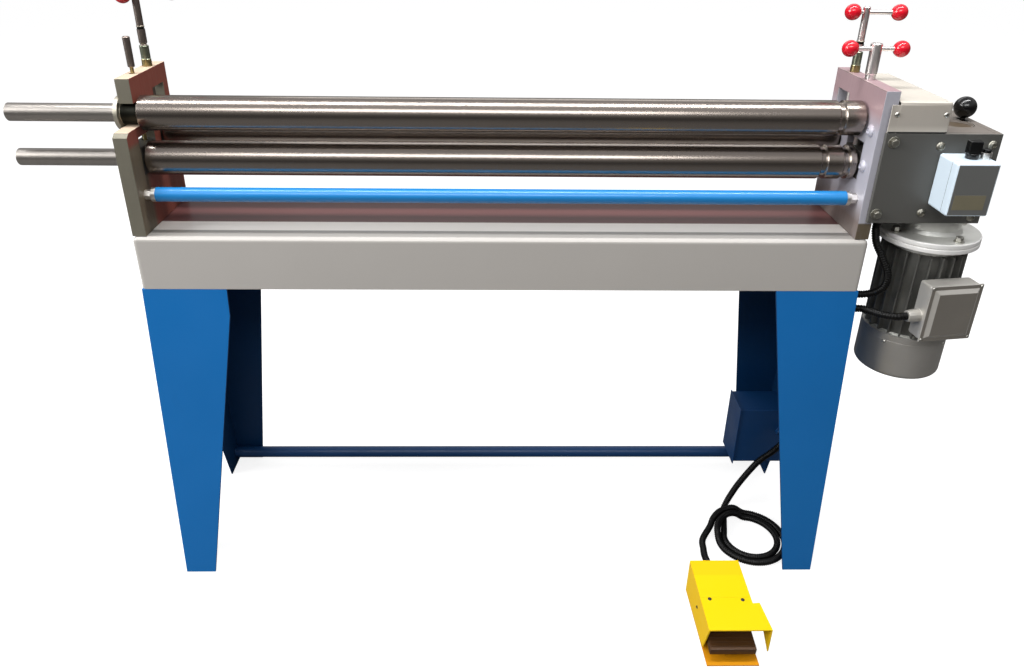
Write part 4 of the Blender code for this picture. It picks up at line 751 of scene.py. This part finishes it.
def pedal_route(radius):
    """Out of the box's front, two open turns on the floor, over the first stretch and into the foot switch."""
    gland, turns, steps = 0.012, 2, 24
    floor = radius + FIT
    loop_x, loop_y, loop_r, loop_step, start = 0.578, -0.053, 0.056, 0.0165, math.radians(160)
    first = Vector((loop_x + loop_r * math.cos(start), loop_y + loop_r * math.sin(start), 0))
    box = Vector((0.672, 0.106, 0))
    leave = box + Vector((0, -gland - FIT, 0.195))
    bends = ((-0.006, -0.0395, 0.190), (-0.027, -0.044, 0.168), (-0.058, -0.043, 0.135),
             (-0.091, -0.042, 0.076), (-0.110, -0.0445, 0.036), (-0.121, -0.051, 0.015))
    points = [leave, leave - Vector((0, 2 * radius, 0)), *(box + Vector(bend) for bend in bends)]
    laid = box + Vector((-0.1275, -0.062, floor))
    arrive = [laid.lerp(first + Vector((0, 0, floor)), share) for share in (0, 0.33, 0.66)]
    points += arrive
    strand = [arrive[0].lerp(first, share) for share in np.linspace(0, 1, 40)]
    for k in range(turns * steps + 1):
        angle = start + 2 * math.pi * k / steps
        reach = loop_r + loop_step * k / steps
        place = Vector((loop_x + reach * math.cos(angle), loop_y + reach * math.sin(angle), 0))
        lift = 0
        if k > steps // 2:
            apart = min(((place - p).xy).length for p in strand)
            share = min(1, max(0, 1 - (apart - 2 * radius) / 0.032))
            lift = (2 * radius + 4 * FIT) * (3 - 2 * share) * share ** 2
        points.append(place + Vector((0, 0, floor + lift)))
    end, entry = PEDAL_END_Y + gland + FIT, 0.040
    points += [Vector((PEDAL_X + x, end + y, z)) for x, y, z in
               ((0.018, 0.130, floor), (0.012, 0.098, floor + 0.002), (0.006, 0.070, floor + 0.013),
                (0.001, 0.046, entry - 0.005), (0, 4 * radius, entry), (0, 2 * radius, entry), (0, 0, entry))]
    return points


class PLATEROLL_OT_hoses(bpy.types.Operator):
    """Ribbed hose to the foot switch, and the two short ones beside the motor"""
    bl_idname = "plateroll.hoses"
    bl_label = "Hoses"

    def execute(self, context):
        radius, pitch = sizes().hose_radius, sizes().hose_pitch
        obj, path = ribbed_curve("pedal_ribbed_hose", pedal_route(HOSE_R), pitch, radius)
        dress(obj, "pedal_ribbed_hose", "hose_black", "pedal_hose")
        turn, outward, middle = terminal_seat()
        side = turn.to_3x3() @ Vector((-1, 0, 0))
        start = middle + side * (0.052 + 0.024 + FIT) - Vector((0, 0, 0.012))
        routes = {
            "motor_ribbed_hose": [start, start + side * HOSE_R, start + side * 0.022, (0.737, -0.104, 0.624),
                                  (0.724, -0.084, 0.621), (0.712, -0.069, 0.619), (0.702, -0.066, 0.618),
                                  (HOSE_WALL_X, -0.066, 0.618)],
            "switch_ribbed_hose": [(0.712, -0.050, 0.8047), (0.712, -0.050, 0.7893), (0.713, -0.051, 0.7747),
                                   (0.718, -0.055, 0.753), (0.731, -0.064, 0.727), (0.745, -0.071, 0.695),
                                   (0.744, -0.070, 0.668), (0.730, -0.063, 0.652), (0.711, -0.057, 0.645),
                                   (0.702, -0.056, 0.645), (HOSE_WALL_X, -0.056, 0.645)],
        }
        for name, points in routes.items():
            obj = ribbed_curve(name, points, pitch, radius)[0]
            dress(obj, name, "hose_black", name.replace("ribbed_", ""))
        return {"FINISHED"}


def mirrored(right):
    """Stations of a right half, and of the left half that mirrors it."""
    return right + [(-x, r) for x, r in reversed(right)]


def roll_body(grooves, radius):
    """Stations along a roll from its right face to its left, with grooves inward of the right face."""
    rows = [(ROLL_FACE, JOURNAL_R), (ROLL_FACE, radius - 0.002), (ROLL_FACE - 0.002, radius)]
    for inward in grooves:
        edge, deep = ROLL_FACE - inward, radius - 0.004
        rows += [(edge, radius), (edge - 0.003, deep), (edge - 0.010, deep), (edge - 0.013, radius)]
    return rows + [(-ROLL_FACE + 0.002, radius), (-ROLL_FACE, radius - 0.002), (-ROLL_FACE, JOURNAL_R)]


def centred_end(x, radius, outward):
    """Stations of a shaft's end, seen from its centre hole to its chamfer."""
    return [(x - outward * 0.006, 0.0), (x - outward * 0.001, 0.0035), (x, 0.0042), (x, radius - 0.0012),
            (x - outward * 0.0012, radius)]


class PLATEROLL_OT_rolls(bpy.types.Operator):
    """The three rolls with their journals, and the bushes of the top one"""
    bl_idname = "plateroll.rolls"
    bl_label = "Rolls"

    def execute(self, context):
        drive = [(0.692, DRIVE_END_R), (0.692, JOURNAL_R)]
        collar = [(-0.7019, JOURNAL_R), (-0.7019, 0.0165)]
        rolls = {
            "top": (0, TOP_ROLL_Z, centred_end(0.723, DRIVE_END_R, 1) + drive, (0.0355,),
                    collar + centred_end(-0.903, 0.0165, -1)[::-1]),
            "lower": (0, LOWER_ROLL_Z, centred_end(0.708, DRIVE_END_R, 1) + drive, (0.0125, 0.0545),
                      centred_end(-0.903, JOURNAL_R, -1)[::-1]),
            "rear": (REAR_ROLL_Y, REAR_ROLL_Z, centred_end(0.690, JOURNAL_R, 1), (),
                     centred_end(-0.690, JOURNAL_R, -1)[::-1]),
        }
        for name, (y, z, right_end, grooves, left_end) in rolls.items():
            rows = right_end + roll_body(grooves, sizes().roll_radius) + left_end
            obj = lathe(rows, at(0, y, z, ALONG_X), 128)
            dress(obj, name + "_ground_roll", "roll_steel", name + "_roll")
            if name != "rear":
                paint_faces(obj, "shaft_steel", lambda c, n: abs(own_x(c)) > ROLL_FACE - 0.0005)
        flange = [(-0.6654, BUSH_HOLE_R), (-0.6654, 0.0205), (-0.6935, 0.0205), (-0.6935, 0.0310),
                  (-0.7011, 0.0310), (-0.7011, BUSH_HOLE_R), (-0.6654, BUSH_HOLE_R)]
        obj = lathe(flange, at(0, 0, TOP_ROLL_Z, ALONG_X), edge=0.0007)
        dress(obj, "flanged_turned_bush", "bush_pale", "top_roll_flanged_bush")
        paint_faces(obj, "bush_dark", lambda c, n: own_x(c) > -0.6930)
        half, ball = 0.011, 0.021
        barrel = [(x, math.sqrt(ball ** 2 - x ** 2)) for x in np.linspace(half, -half, 13)]
        barrel = [(half, BUSH_HOLE_R)] + barrel + [(-half, BUSH_HOLE_R), (half, BUSH_HOLE_R)]
        obj = lathe(barrel, at(FRAME_X, 0, TOP_ROLL_Z, ALONG_X))
        dress(obj, "barrel_turned_bush", "bush_bronze", "top_roll_barrel_bush")
        return {"FINISHED"}


class PLATEROLL_OT_frames(bpy.types.Operator):
    """The side frames with their bolts, the bearing blocks and the tie rod"""
    bl_idname = "plateroll.frames"
    bl_label = "Side frames"

    def execute(self, context):
        edge = sizes().plate_edge
        obj = recut("left_frame", "left_milled_frame", "frame_iron", edge)
        paint_faces(obj, "frame_low", lambda c, n: n.x > 0.9)
        paint_faces(obj, "frame_top", lambda c, n: n.z > 0.9 and c.z > 0.95)
        obj = recut("right_frame", "right_milled_frame", "frame_iron", edge)
        # Painted reflections: the right frame's inner side, tops and front in the colours that its polished plate
        # reflects
        paint_faces(obj, "frame_mauve", lambda c, n: n.x < -0.9 or n.z > 0.9)
        paint_faces(obj, "frame_lavender", lambda c, n: n.y < -0.8)
        for node in ("left_lower_block", "right_lower_block", "left_rear_block", "right_rear_block"):
            recut(node, node + "_milled", "block_iron")
        inner = [at(0.665, y, z, TOWARD_LEFT) for y, z in ((-0.045, 0.970), (-0.043, 0.903))]
        # The inner bolts take the same painted reflection as the plate round them
        copies(dome_head(0.0115, 0.0060), "frame_inner_bolt", inner, "frame_mauve")
        outer = [at(-0.691, y, 0.815, TOWARD_LEFT) for y in (-0.048, 0.110)]
        copies(dome_head(0.0090, 0.0060, 0.0115), "frame_foot_bolt", outer, "bolt_zinc")
        rod = solid(mirrored([(0.6526, ROD_R - 0.0010), (0.6516, ROD_R), (0.6440, ROD_R)]))
        obj = lathe(rod, at(0, ROD_Y, ROD_Z, ALONG_X), 96, 0.0003)
        dress(obj, "front_painted_rod", "rod_blue", "front_tie_rod")
        paint_faces(obj, "bolt_bright", lambda c, n: abs(own_x(c)) > 0.6445)
        for side, sign in SIDE.items():
            nut = hex_head(0.0173, 0.0114)
            nut.data.transform(at(sign * 0.6650, ROD_Y, ROD_Z, ALONG_X if sign < 0 else TOWARD_LEFT))
            dress(nut, side + "_rod_nut", "bolt_bright", side + "_tie_nut")
        return {"FINISHED"}


def grip_balls(half, ball_r, bar_r):
    """Stations of a cross bar with a ball at each end, from one end to the other."""
    neck = math.pi - math.asin(bar_r / ball_r)
    ball = [(half + ball_r * math.cos(a), ball_r * math.sin(a)) for a in np.linspace(0.05, neck, 22)]
    return mirrored(ball + [(half - ball_r * 0.97, bar_r)])


def crown(z, radius, chamfer=0.0014):
    """Stations of a post's top: a shallow dish, a rim and a chamfer."""
    return [(z - 0.0006, radius * 0.45), (z, radius * 0.55), (z, radius - chamfer), (z - chamfer, radius)]


class PLATEROLL_OT_screws(bpy.types.Operator):
    """Adjusting screws, their nuts and their cross bars with red balls"""
    bl_idname = "plateroll.screws"
    bl_label = "Screws and handles"

    def execute(self, context):
        foot = LOWER_ROLL_Z + SCREW_FOOT
        shape = crown(1.112, 0.0105) + [(1.058, 0.0105), (1.0565, 0.0092), (FRAME_TOP, 0.0092), (FRAME_TOP, 0.0060),
                                        (foot, 0.0060)]
        post = lathe(solid(shape), at(FRAME_X, FRONT_SCREW_Y, 0), 64)
        self.cross_hole(post, at(FRAME_X, FRONT_SCREW_Y, FRONT_BAR_Z, ALONG_X))
        dress(post, "right_front_spindle_post", "screw_steel", "right_front_screw")
        shape = crown(1.112, 0.0065) + [(1.0590, 0.0062), (1.0575, 0.0034), (FRAME_TOP, 0.0034), (foot, 0.0034)]
        post = lathe(solid(shape), at(-FRAME_X, FRONT_SCREW_Y, 0), 64)
        dress(post, "left_front_pin_post", "screw_brown", "left_front_screw")
        paint_faces(post, "neck_brass", lambda c, n: c.z < 1.0580)
        self.rear_screw("left", 1.186, 1.119, "screw_brown", 40, 0.022)
        self.rear_screw("right", 1.167, 1.104, "screw_steel", 0, 0.019)
        self.bar("right_front", Vector((FRAME_X, FRONT_SCREW_Y, FRONT_BAR_Z)), 0.047, ALONG_X)
        return {"FINISHED"}

    def rear_screw(self, side, top, band, finish, degrees, slid):
        """A threaded post with a ringed neck, its nut and its bar, which is swung about and slid along."""
        x = SIDE[side] * FRAME_X
        shape = crown(top, 0.0065) + [(band + 0.0020, 0.0065), (band + 0.0014, 0.0074), (band, 0.0074),
                                      (band - 0.0004, 0.0066), (band - 0.0040, 0.0066), (band - 0.0044, 0.0074),
                                      (1.0900, 0.0074), (1.0890, 0.0062)]
        z = 1.0882
        while z > 1.049:
            shape += [(z - 0.0008, 0.0056), (z - 0.0016, 0.0062)]
            z -= 0.0016
        shape += [(REAR_ROLL_Z + SCREW_FOOT, 0.0062)]
        post = lathe(solid(shape), at(x, REAR_ROLL_Y, 0), 64, 0)
        swung = Matrix.Rotation(math.radians(degrees), 4, "Z")
        hole = Vector((x, REAR_ROLL_Y, top - 0.010))
        self.cross_hole(post, at(*hole, swung @ ALONG_X))
        dress(post, side + "_rear_screw_post", finish, side + "_rear_screw")
        paint_faces(post, "bush_pale", lambda c, n: band - 0.0002 < c.z < band + 0.0022)
        paint_faces(post, "bush_dark", lambda c, n: band - 0.0042 < c.z < band - 0.0003)
        nut = [(0.0380, 0.0066), (0.0380, 0.0076), (0.0372, 0.0084), (0.0150, 0.0084), (0.0140, 0.0080),
               (0.0130, 0.0088), (0.0010, 0.0092), (0, 0.0088), (0, 0.0066), (0.0380, 0.0066)]
        obj = lathe(nut, at(x, REAR_ROLL_Y, FRAME_TOP), 64, 0.0003)
        dress(obj, side + "_rear_screw_sleeve", "nut_zinc", side + "_rear_nut")
        paint_faces(obj, "neck_brass", lambda c, n: c.z < FRAME_TOP + 0.0135)
        self.bar(side + "_rear", hole + swung @ Vector((slid, 0, 0)), 0.044, swung @ ALONG_X)

    def cross_hole(self, post, place):
        """The hole that the bar slides in."""
        cut(post, lathe(solid([(0.03, 0.0043), (-0.03, 0.0043)]), place, 32, 0))
        soften(post, 0)

    def bar(self, name, middle, half, turn):
        """A steel bar with a red ball at each end."""
        ball = 0.0149
        obj = lathe(solid(grip_balls(half, ball, 0.0040)), at(*middle, turn), 64, 0)
        dress(obj, name + "_ball_bar", "ball_red", name + "_handle")
        paint_faces(obj, "screw_steel", lambda c, n: (c - spot(*middle)).length < half - ball * 0.96)


class PLATEROLL_OT_bed(bpy.types.Operator):
    """The folded bed, the pedestals, the tube between them and the electrical box"""
    bl_idname = "plateroll.bed"
    bl_label = "Bed and stand"

    def execute(self, context):
        edge = sizes().sheet_edge
        obj = recut("bed", "folded_bed", "bed_pale", edge)
        # Painted light: the bed's top faces lighter than its front
        paint_faces(obj, "bed_top", lambda c, n: n.z > 0.995 and c.z > 0.75)
        for side, sign in SIDE.items():
            obj = recut(side + "_pedestal", side + "_folded_pedestal", "leg_blue", edge)
            paint_faces(obj, "leg_shadow", lambda c, n: sign * n.x < -0.3 or (n.y < -0.5 and c.y > 0.05))
        low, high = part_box("stretcher_tube")
        half = (high.x - low.x) / 2
        place = Matrix.Translation((low + high) / 2) @ ALONG_X
        obj = lathe(ring(0.014, 0.012, half, -half), place, 64, 0.0005)
        dress(obj, "stretcher_painted_tube", "box_blue", "stretcher_tube")
        recut("electrical_box", "electrical_sheet_box", "box_blue")
        recut("electrical_lid", "electrical_sheet_lid", "box_blue")
        return {"FINISHED"}


class PLATEROLL_OT_gear_case(bpy.types.Operator):
    """Plates of the gear case, their bolts, the cover over the gears and the gears"""
    bl_idname = "plateroll.gear_case"
    bl_label = "Gear case"

    def execute(self, context):
        edge = sizes().plate_edge
        for node in ("gear_front_plate", "gear_back_plate", "gear_outer_plate", "gear_middle_plate",
                     "gear_bottom_plate", "gear_top_plate"):
            obj = recut(node, node + "_painted", "case_grey", edge)
            # Painted light on the plates' upward faces
            paint_faces(obj, "case_top", lambda c, n: n.z > 0.9 and c.z > 0.970)
        obj = recut("gear_cover", "gear_sheet_cover", "cover_cream", 0.0006)
        # Painted shade on the cover's front faces, with a painted highlight at the lower bend
        paint_faces(obj, "cover_front", lambda c, n: n.y < -0.8)
        for node in ("top_gear", "lower_gear", "idler_gear"):
            recut(node, node + "_cut", "gear_iron", 0.0004)
        hidden = {"drive_shaft": "shaft_steel", "worm_wheel": "bush_bronze", "motor_rotor": "screw_steel",
                  "motor_fan": "bolt_black"}
        for node, finish in hidden.items():
            NODES[node].data.materials.clear()
            NODES[node].data.materials.append(FINISHES[finish])
        big = ((0.693, 0.959), (0.690, 0.823))
        small = ((0.779, 0.952), (0.872, 0.955), (0.774, 0.826), (0.869, 0.818))
        for model, name, spots in ((hex_head(0.013, 0.0065, 0.0105, 0.002), "case_hex_bolt", big),
                                   (dome_head(0.0082, 0.0050), "case_dome_bolt", small)):
            copies(model, name, [at(x, CASE_FRONT_Y, z, TOWARD_FRONT) for x, z in spots], "bolt_dull")
        low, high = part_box("gear_cover")
        screws = [Matrix.Translation((low.x + share * (high.x - low.x), low.y, low.z + 0.033)) @ TOWARD_FRONT
                  for share in (0.10, 0.90)]
        copies(cross_head(0.0048, 0.0030), "cover_screw", screws, "bolt_zinc")
        cap = [(0.0006, 0.0262), (0.0040, 0.0272), (0.0046, 0.0280), (0.0046, 0.0292), (0.0036, 0.0302), (0, 0.0302)]
        obj = lathe(solid(cap), at(MOTOR_X, MOTOR_Y, 0.9702))
        # The cap takes the case top's lighter colour, painted light
        dress(obj, "bearing_turned_cap", "case_top")
        # Painted shade on the floor of the cap's dish
        paint_faces(obj, "slot_brown", lambda c, n: c.z < 0.9745 and n.z > 0.5)
        return {"FINISHED"}


class PLATEROLL_OT_motor(bpy.types.Operator):
    """Flanged motor, its adapter, fins, bell and fan cowl"""
    bl_idname = "plateroll.motor"
    bl_label = "Motor"

    def execute(self, context):
        place = at(MOTOR_X, MOTOR_Y, 0)
        chamfer = FLANGE_R - 0.0015
        neck = [(0.8047, 0.042), (0.8047, 0.055), (0.778, 0.055), (0.7705, 0.060), (0.768, 0.070), (0.768, chamfer),
                (0.7665, FLANGE_R), (0.7595, FLANGE_R), (0.758, chamfer), (0.758, 0.042), (0.8047, 0.042)]
        low, top = [corner.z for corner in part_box("motor_flange")]
        flange = [(top, SHAFT_HOLE_R), (top, chamfer), (top - 0.0015, FLANGE_R), (top - 0.0085, FLANGE_R),
                  (top - 0.010, chamfer), (top - 0.010, SPIGOT_R), (low, SPIGOT_R), (low, SHAFT_HOLE_R),
                  (top, SHAFT_HOLE_R)]
        for rows, name, node in ((neck, "adapter_turned_flange", "motor_adapter"),
                                 (flange, "motor_cast_flange", "motor_flange")):
            obj = dress(lathe(rows, place, 128, 0.0006), name, "motor_silver", node)
            paint_faces(obj, "flange_bright",
                        lambda c, n: (c.xy - place.translation.xy).length > FLANGE_R - 0.0025)
        # Painted shade: the whole finned body in the dark silver
        recut("motor_body", "motor_finned_body", "fin_silver", 0.0007)
        low, top = [corner.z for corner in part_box("motor_end_bell")]
        bell = [(top, SHAFT_HOLE_R), (top, SPIGOT_R), (top - 0.003, SPIGOT_R), (top - 0.003, 0.0807),
                (top - 0.011, 0.0807), (low + 0.004, 0.058), (low, 0.055), (low, SHAFT_HOLE_R), (top, SHAFT_HOLE_R)]
        dress(lathe(bell, place, 128, 0.0006), "motor_cast_bell", "motor_silver", "motor_end_bell")
        low, top = [corner.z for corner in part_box("motor_fan_cowl")]
        outer, bend = 0.083, 0.010
        cowl = [(top, 0.081), (top, outer), (top - 0.012, outer), (top - 0.0128, 0.0824), (top - 0.0136, outer),
                (low + bend, outer)]
        cowl += [(low + bend - bend * math.sin(a), outer - bend + bend * math.cos(a))
                 for a in np.linspace(0.2, math.pi / 2, 7)]
        cowl += [(low, 0.020), (low + 0.002, 0.020), (low + 0.002, 0.071), (low + bend, 0.081), (top, 0.081)]
        dress(lathe(cowl, place, 128), "motor_pressed_cowl", "cowl_silver", "motor_fan_cowl")
        nuts = [self.round_about(place, a, 0.078, 0.7683) for a in (-75, 15, 105, 195)]
        copies(hex_head(0.013, 0.008, 0.0098), "flange_nut", nuts, "bolt_zinc")
        screws = [self.round_about(place, a, 0.0829, top - 0.018) @ ALONG_X for a in (-140, -50, 40, 130)]
        copies(dome_head(0.0042, 0.0024), "cowl_screw", screws, "bolt_zinc")
        self.terminal_box()
        return {"FINISHED"}

    def round_about(self, place, degrees, radius, z):
        """A place at an angle round the motor's axis."""
        return place @ Matrix.Rotation(math.radians(degrees), 4, "Z") @ Matrix.Translation((radius, 0, z))

    def terminal_box(self):
        """The box on the motor's side, and its lid with a raised front and a screw in each corner."""
        turn, outward, middle = terminal_seat()
        recut("terminal_box", "terminal_cast_box", "terminal_silver")
        lid_back = middle + outward * (TERMINAL_HALF + FIT)
        deselect()
        bpy.ops.mesh.primitive_cube_add(size=1, location=(0, 0.003, 0))
        lid = bpy.context.object
        lid.scale = (0.108, 0.004, 0.118)
        settle(lid)
        edit_all()
        bpy.ops.mesh.bevel(offset=0.0012, segments=2, affect="EDGES")
        bpy.ops.mesh.select_all(action="DESELECT")
        bpy.ops.object.mode_set(mode="OBJECT")
        front = min(lid.data.polygons, key=lambda f: (round(f.center.y, 4), -f.area))
        front.select = True
        bpy.ops.object.mode_set(mode="EDIT")
        bpy.ops.mesh.inset(thickness=0.0066)
        bpy.ops.mesh.inset(thickness=0.0075, depth=0.0060)
        bpy.ops.object.mode_set(mode="OBJECT")
        lid.matrix_world = at(*(lid_back + outward * 0.005), turn)
        settle(lid)
        soften(lid, 0.0007)
        dress(lid, "terminal_cast_lid", "terminal_silver", "terminal_lid")
        # Painted shade on the lid's outward faces
        paint_faces(lid, "terminal_front", lambda c, n: n.dot(outward) > 0.97)
        face = lid_back + outward * 0.004
        corners = [at(*(face + turn.to_3x3() @ Vector((x, 0, z))), turn @ TOWARD_FRONT)
                   for x in (-0.0495, 0.0495) for z in (-0.0545, 0.0545)]
        copies(cross_head(0.0032, 0.0022), "terminal_screw", corners, "bolt_zinc")


class PLATEROLL_OT_controls(bpy.types.Operator):
    """Switch box with its selector and button, and the ball lever"""
    bl_idname = "plateroll.controls"
    bl_label = "Switch box and lever"

    def execute(self, context):
        low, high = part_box("switch_box")
        box = box_about(low, high, 0.0045, 5)
        self.seam(box, low, high)
        dress(box, "switch_enamel_box", "box_mist", "switch_box")
        # Painted shade on the box's front faces
        paint_faces(box, "box_front", lambda c, n: n.y < -0.9)
        face, mid = low.y - FIT, (low + high) / 2
        label = box_about((mid.x - 0.030, face, mid.z - 0.036), (mid.x + 0.026, face + 0.0009, mid.z - 0.009),
                          0.0003, 2)
        dress(label, "switch_blank_label", "label_beige")
        x, y, top = 0.8195, -0.1146, 0.9405
        knob = solid([(0.010, 0.0100), (0.009, 0.0110), (0.0006, 0.0110), (0.0006, 0.0040), (-0.012, 0.0040)])
        knob = lathe(knob, at(x, y, top), 64)
        join([knob, bevelled_box((x - 0.0108, y - 0.0080, top + 0.0085), (x + 0.0108, y + 0.0080, top + 0.0315),
                                 0.0014)])
        dress(knob, "selector_grip_knob", "knob_black", "selector_knob")
        x = 0.8435
        button = solid([(0.0178, 0.0055), (0.0172, 0.0068), (0.0160, 0.0075), (0.0045, 0.0075), (0.0045, 0.0040),
                        (-0.012, 0.0040)])
        dress(lathe(button, at(x, y, top), 64, 0.0003), "start_round_button", "knob_black", "push_button")
        collar = ring(0.0098, 0.0080, 0.0115, 0.0)
        dress(lathe(collar, at(x, y, top), 64, 0.0005), "button_bright_collar", "bolt_bright")
        hub, ball, rise = (0.867, 0.024, 0.945), 0.0199, 0.053
        rows = [(rise + ball * math.cos(a), ball * math.sin(a)) for a in np.linspace(0.04, math.pi - 0.26, 26)]
        rows += [(0.034, 0.0050), (0.0, 0.0050)]
        stem = lathe(solid(rows), at(*hub), 80, 0.0003)
        boss = lathe(solid([(0.006, 0.012), (-0.006, 0.012)]), at(*hub, ALONG_X), 64, 0.0005)
        pin = lathe(solid([(0.0077, 0.005), (0, 0.005)]), at(*hub, ALONG_X), 48, 0.0003)
        join([stem, boss, pin])
        dress(stem, "ball_lever_stem", "knob_black", "lever")
        return {"FINISHED"}

    def seam(self, box, low, high):
        """A fine groove round the box where its front comes off."""
        past, deep, y = 0.01, 0.0007, low.y + 0.018
        tool = box_about((low.x - past, y, low.z - past), (high.x + past, y + 0.0008, high.z + past), 0.0001, 1)
        core = box_about(low + Vector((deep, -past, deep)), high + Vector((-deep, past, -deep)), 0.0038, 5)
        cut(tool, core)
        cut(box, tool)
        soften(box, 0)


class PLATEROLL_OT_foot_switch(bpy.types.Operator):
    """Yellow guard, its tray and the ribbed treadle under it"""
    bl_idname = "plateroll.foot_switch"
    bl_label = "Foot switch"

    def execute(self, context):
        recut("pedal_base", "pedal_sheet_tray", "tray_orange", 0.0006)
        guard = recut("pedal_guard", "pedal_sheet_guard", "guard_yellow", 0.0006)
        # Painted light and shade: the guard's upward faces in the roof's yellow
        paint_faces(guard, "guard_roof", lambda c, n: n.z > 0.8)
        recut("pedal_treadle", "pedal_rubber_treadle", "treadle_brown", 0.0012, 3)
        tread = at(PEDAL_X, -0.236, 0.042) @ Matrix.Rotation(math.radians(6), 4, "X")
        ribs = []
        for y in np.arange(8) * 0.0095 - 0.140:
            rib = box_about((-0.043, -0.0018, -0.0010), (0.043, 0.0018, 0.0016), 0.0008, 2)
            rib.data.transform(tread @ Matrix.Translation((0, y, 0.008)))
            ribs.append(rib)
        dress(join(ribs), "treadle_grip_ribs", "treadle_brown", body="treadle")
        slope = Matrix.Rotation(math.atan2(0.007, 0.175), 4, "X")
        roof = [at(x, y, 0.084 + 0.04 * (y - PEDAL_END_Y), slope) for x, y in ((0.4185, -0.3005), (0.4845, -0.3030))]
        copies(dome_head(0.0040, 0.0022), "guard_roof_screw", roof, "bolt_black")
        copies(dome_head(0.0034, 0.0020), "guard_side_screw", [at(0.400, -0.288, 0.044, TOWARD_LEFT)], "bolt_black")
        lap = bevelled_box((0.4025, -0.2968, 0.0797), (0.4985, -0.2958, 0.0806), 0.0002, 1)
        dress(lap, "guard_roof_lap", "guard_back")
        holes = [at(x, y, 0.0019) for x, y in ((0.4465, -0.3880), (0.4530, -0.3600))]
        copies(dome_head(0.0026, 0.0006), "tray_rivet", holes, "bolt_black")
        return {"FINISHED"}


class PLATEROLL_OT_stage(bpy.types.Operator):
    """Pale floor, soft lamps and a plain surround"""
    bl_idname = "plateroll.stage"
    bl_label = "Stage"

    def execute(self, context):
        scene = context.scene
        scene.view_settings.view_transform = "Standard"
        deselect()
        bpy.ops.mesh.primitive_plane_add(size=70, location=(0, 20, 0))
        floor = context.object
        floor.name = floor.data.name = "pale_floor"
        mat = bpy.data.materials.new("floor_white")
        tree = cleared_tree(mat)
        dull = add(tree, "BsdfDiffuse", {"Color": (0.34, 0.34, 0.34, 1)})
        glow = add(tree, "Emission", {"Color": (1, 1, 1, 1), "Strength": 0.84})
        both = add(tree, "AddShader", {0: dull.outputs[0], 1: glow.outputs[0]})
        plain = add(tree, "BsdfDiffuse", {"Color": (0.15, 0.147, 0.143, 1)})
        self.by_ray(tree, "OutputMaterial", plain, both)
        floor.data.materials.append(mat)
        lamps = {
            "lamp_left": ((-3.4, -0.9, 2.3), (0.0, 0.0, 0.7), 2.2, 1.8, 125),
            "lamp_over": ((0.0, -0.05, 3.1), (0.0, 0.0, 0.9), 3.6, 0.24, 78),
            "lamp_front": ((-0.3, -2.9, 3.3), (0.0, 0.0, 0.8), 3.0, 0.7, 54),
            "lamp_back": ((0.2, 2.6, 2.8), (0.0, 0.2, 0.8), 3.0, 1.0, 12),
        }
        for name, (where, aim, wide, deep, power) in lamps.items():
            data = bpy.data.lights.new(name, "AREA")
            data.shape = "RECTANGLE"
            data.size, data.size_y, data.energy = wide, deep, power
            lamp = linked(name, data)
            lamp.location = where
            lamp.rotation_euler = (Vector(aim) - Vector(where)).to_track_quat("-Z", "Y").to_euler()
        world = bpy.data.worlds.new("studio_air")
        scene.world = world
        tree = cleared_tree(world)
        place = add(tree, "TexCoord", {}).outputs["Generated"]
        split = add(tree, "SeparateXYZ", {"Vector": place})
        up = add(tree, "ValToRGB", {"Fac": split.outputs["Z"]})
        stops = up.color_ramp.elements
        stops[1].position = 0.9
        for height in (0.30, 0.55):
            stops.new(height)
        bands = ((0.06, 0.057, 0.054), (0.20, 0.195, 0.19), (0.60, 0.60, 0.60), (0.50, 0.50, 0.52))
        for stop, band in zip(stops, bands):
            stop.color = (*band, 1)
        air = add(tree, "Background", {"Color": up.outputs["Color"], "Strength": 0.95})
        white = add(tree, "Background", {"Color": (1, 1, 1, 1)})
        self.by_ray(tree, "OutputWorld", air, white)
        return {"FINISHED"}

    def by_ray(self, tree, kind, other, seen):
        """One shader for what the camera sees, and another for every other ray."""
        camera = add(tree, "LightPath", {}).outputs["Is Camera Ray"]
        mix = add(tree, "MixShader", {"Fac": camera, 1: other.outputs[0], 2: seen.outputs[0]})
        add(tree, kind, {"Surface": mix.outputs[0]})


GROUPS = (PLATEROLL_OT_camera, PLATEROLL_OT_hoses, PLATEROLL_OT_rolls, PLATEROLL_OT_frames, PLATEROLL_OT_screws,
          PLATEROLL_OT_bed, PLATEROLL_OT_gear_case, PLATEROLL_OT_motor, PLATEROLL_OT_controls,
          PLATEROLL_OT_foot_switch, PLATEROLL_OT_stage)


class PLATEROLL_PT_panel(bpy.types.Panel):
    """Lists the groups of pieces in the 3D view's sidebar"""
    bl_label = "Plate rolling machine"
    bl_idname = "PLATEROLL_PT_panel"
    bl_space_type = "VIEW_3D"
    bl_region_type = "UI"
    bl_category = "Plate roll"

    def draw(self, context):
        for group in (context.scene.plate_roll_sizes, context.scene.plate_roll_colours):
            box = self.layout.box()
            for name in group.__annotations__:
                box.prop(group, name)
        for kind in GROUPS:
            self.layout.operator(kind.bl_idname)


CLASSES = (PlateRollColours, PlateRollSizes, *GROUPS, PLATEROLL_PT_panel)


def register():
    for kind in CLASSES:
        bpy.utils.register_class(kind)
    bpy.types.Scene.plate_roll_colours = bpy.props.PointerProperty(type=PlateRollColours)
    bpy.types.Scene.plate_roll_sizes = bpy.props.PointerProperty(type=PlateRollSizes)


def unregister():
    del bpy.types.Scene.plate_roll_sizes
    del bpy.types.Scene.plate_roll_colours
    for kind in reversed(CLASSES):
        bpy.utils.unregister_class(kind)


def main():
    register()
    make_finishes(colours())
    for kind in GROUPS:
        area, action = kind.bl_idname.split(".")
        getattr(getattr(bpy.ops, area), action)()
    bpy.context.view_layer.update()


if __name__ == "__main__":
    main()
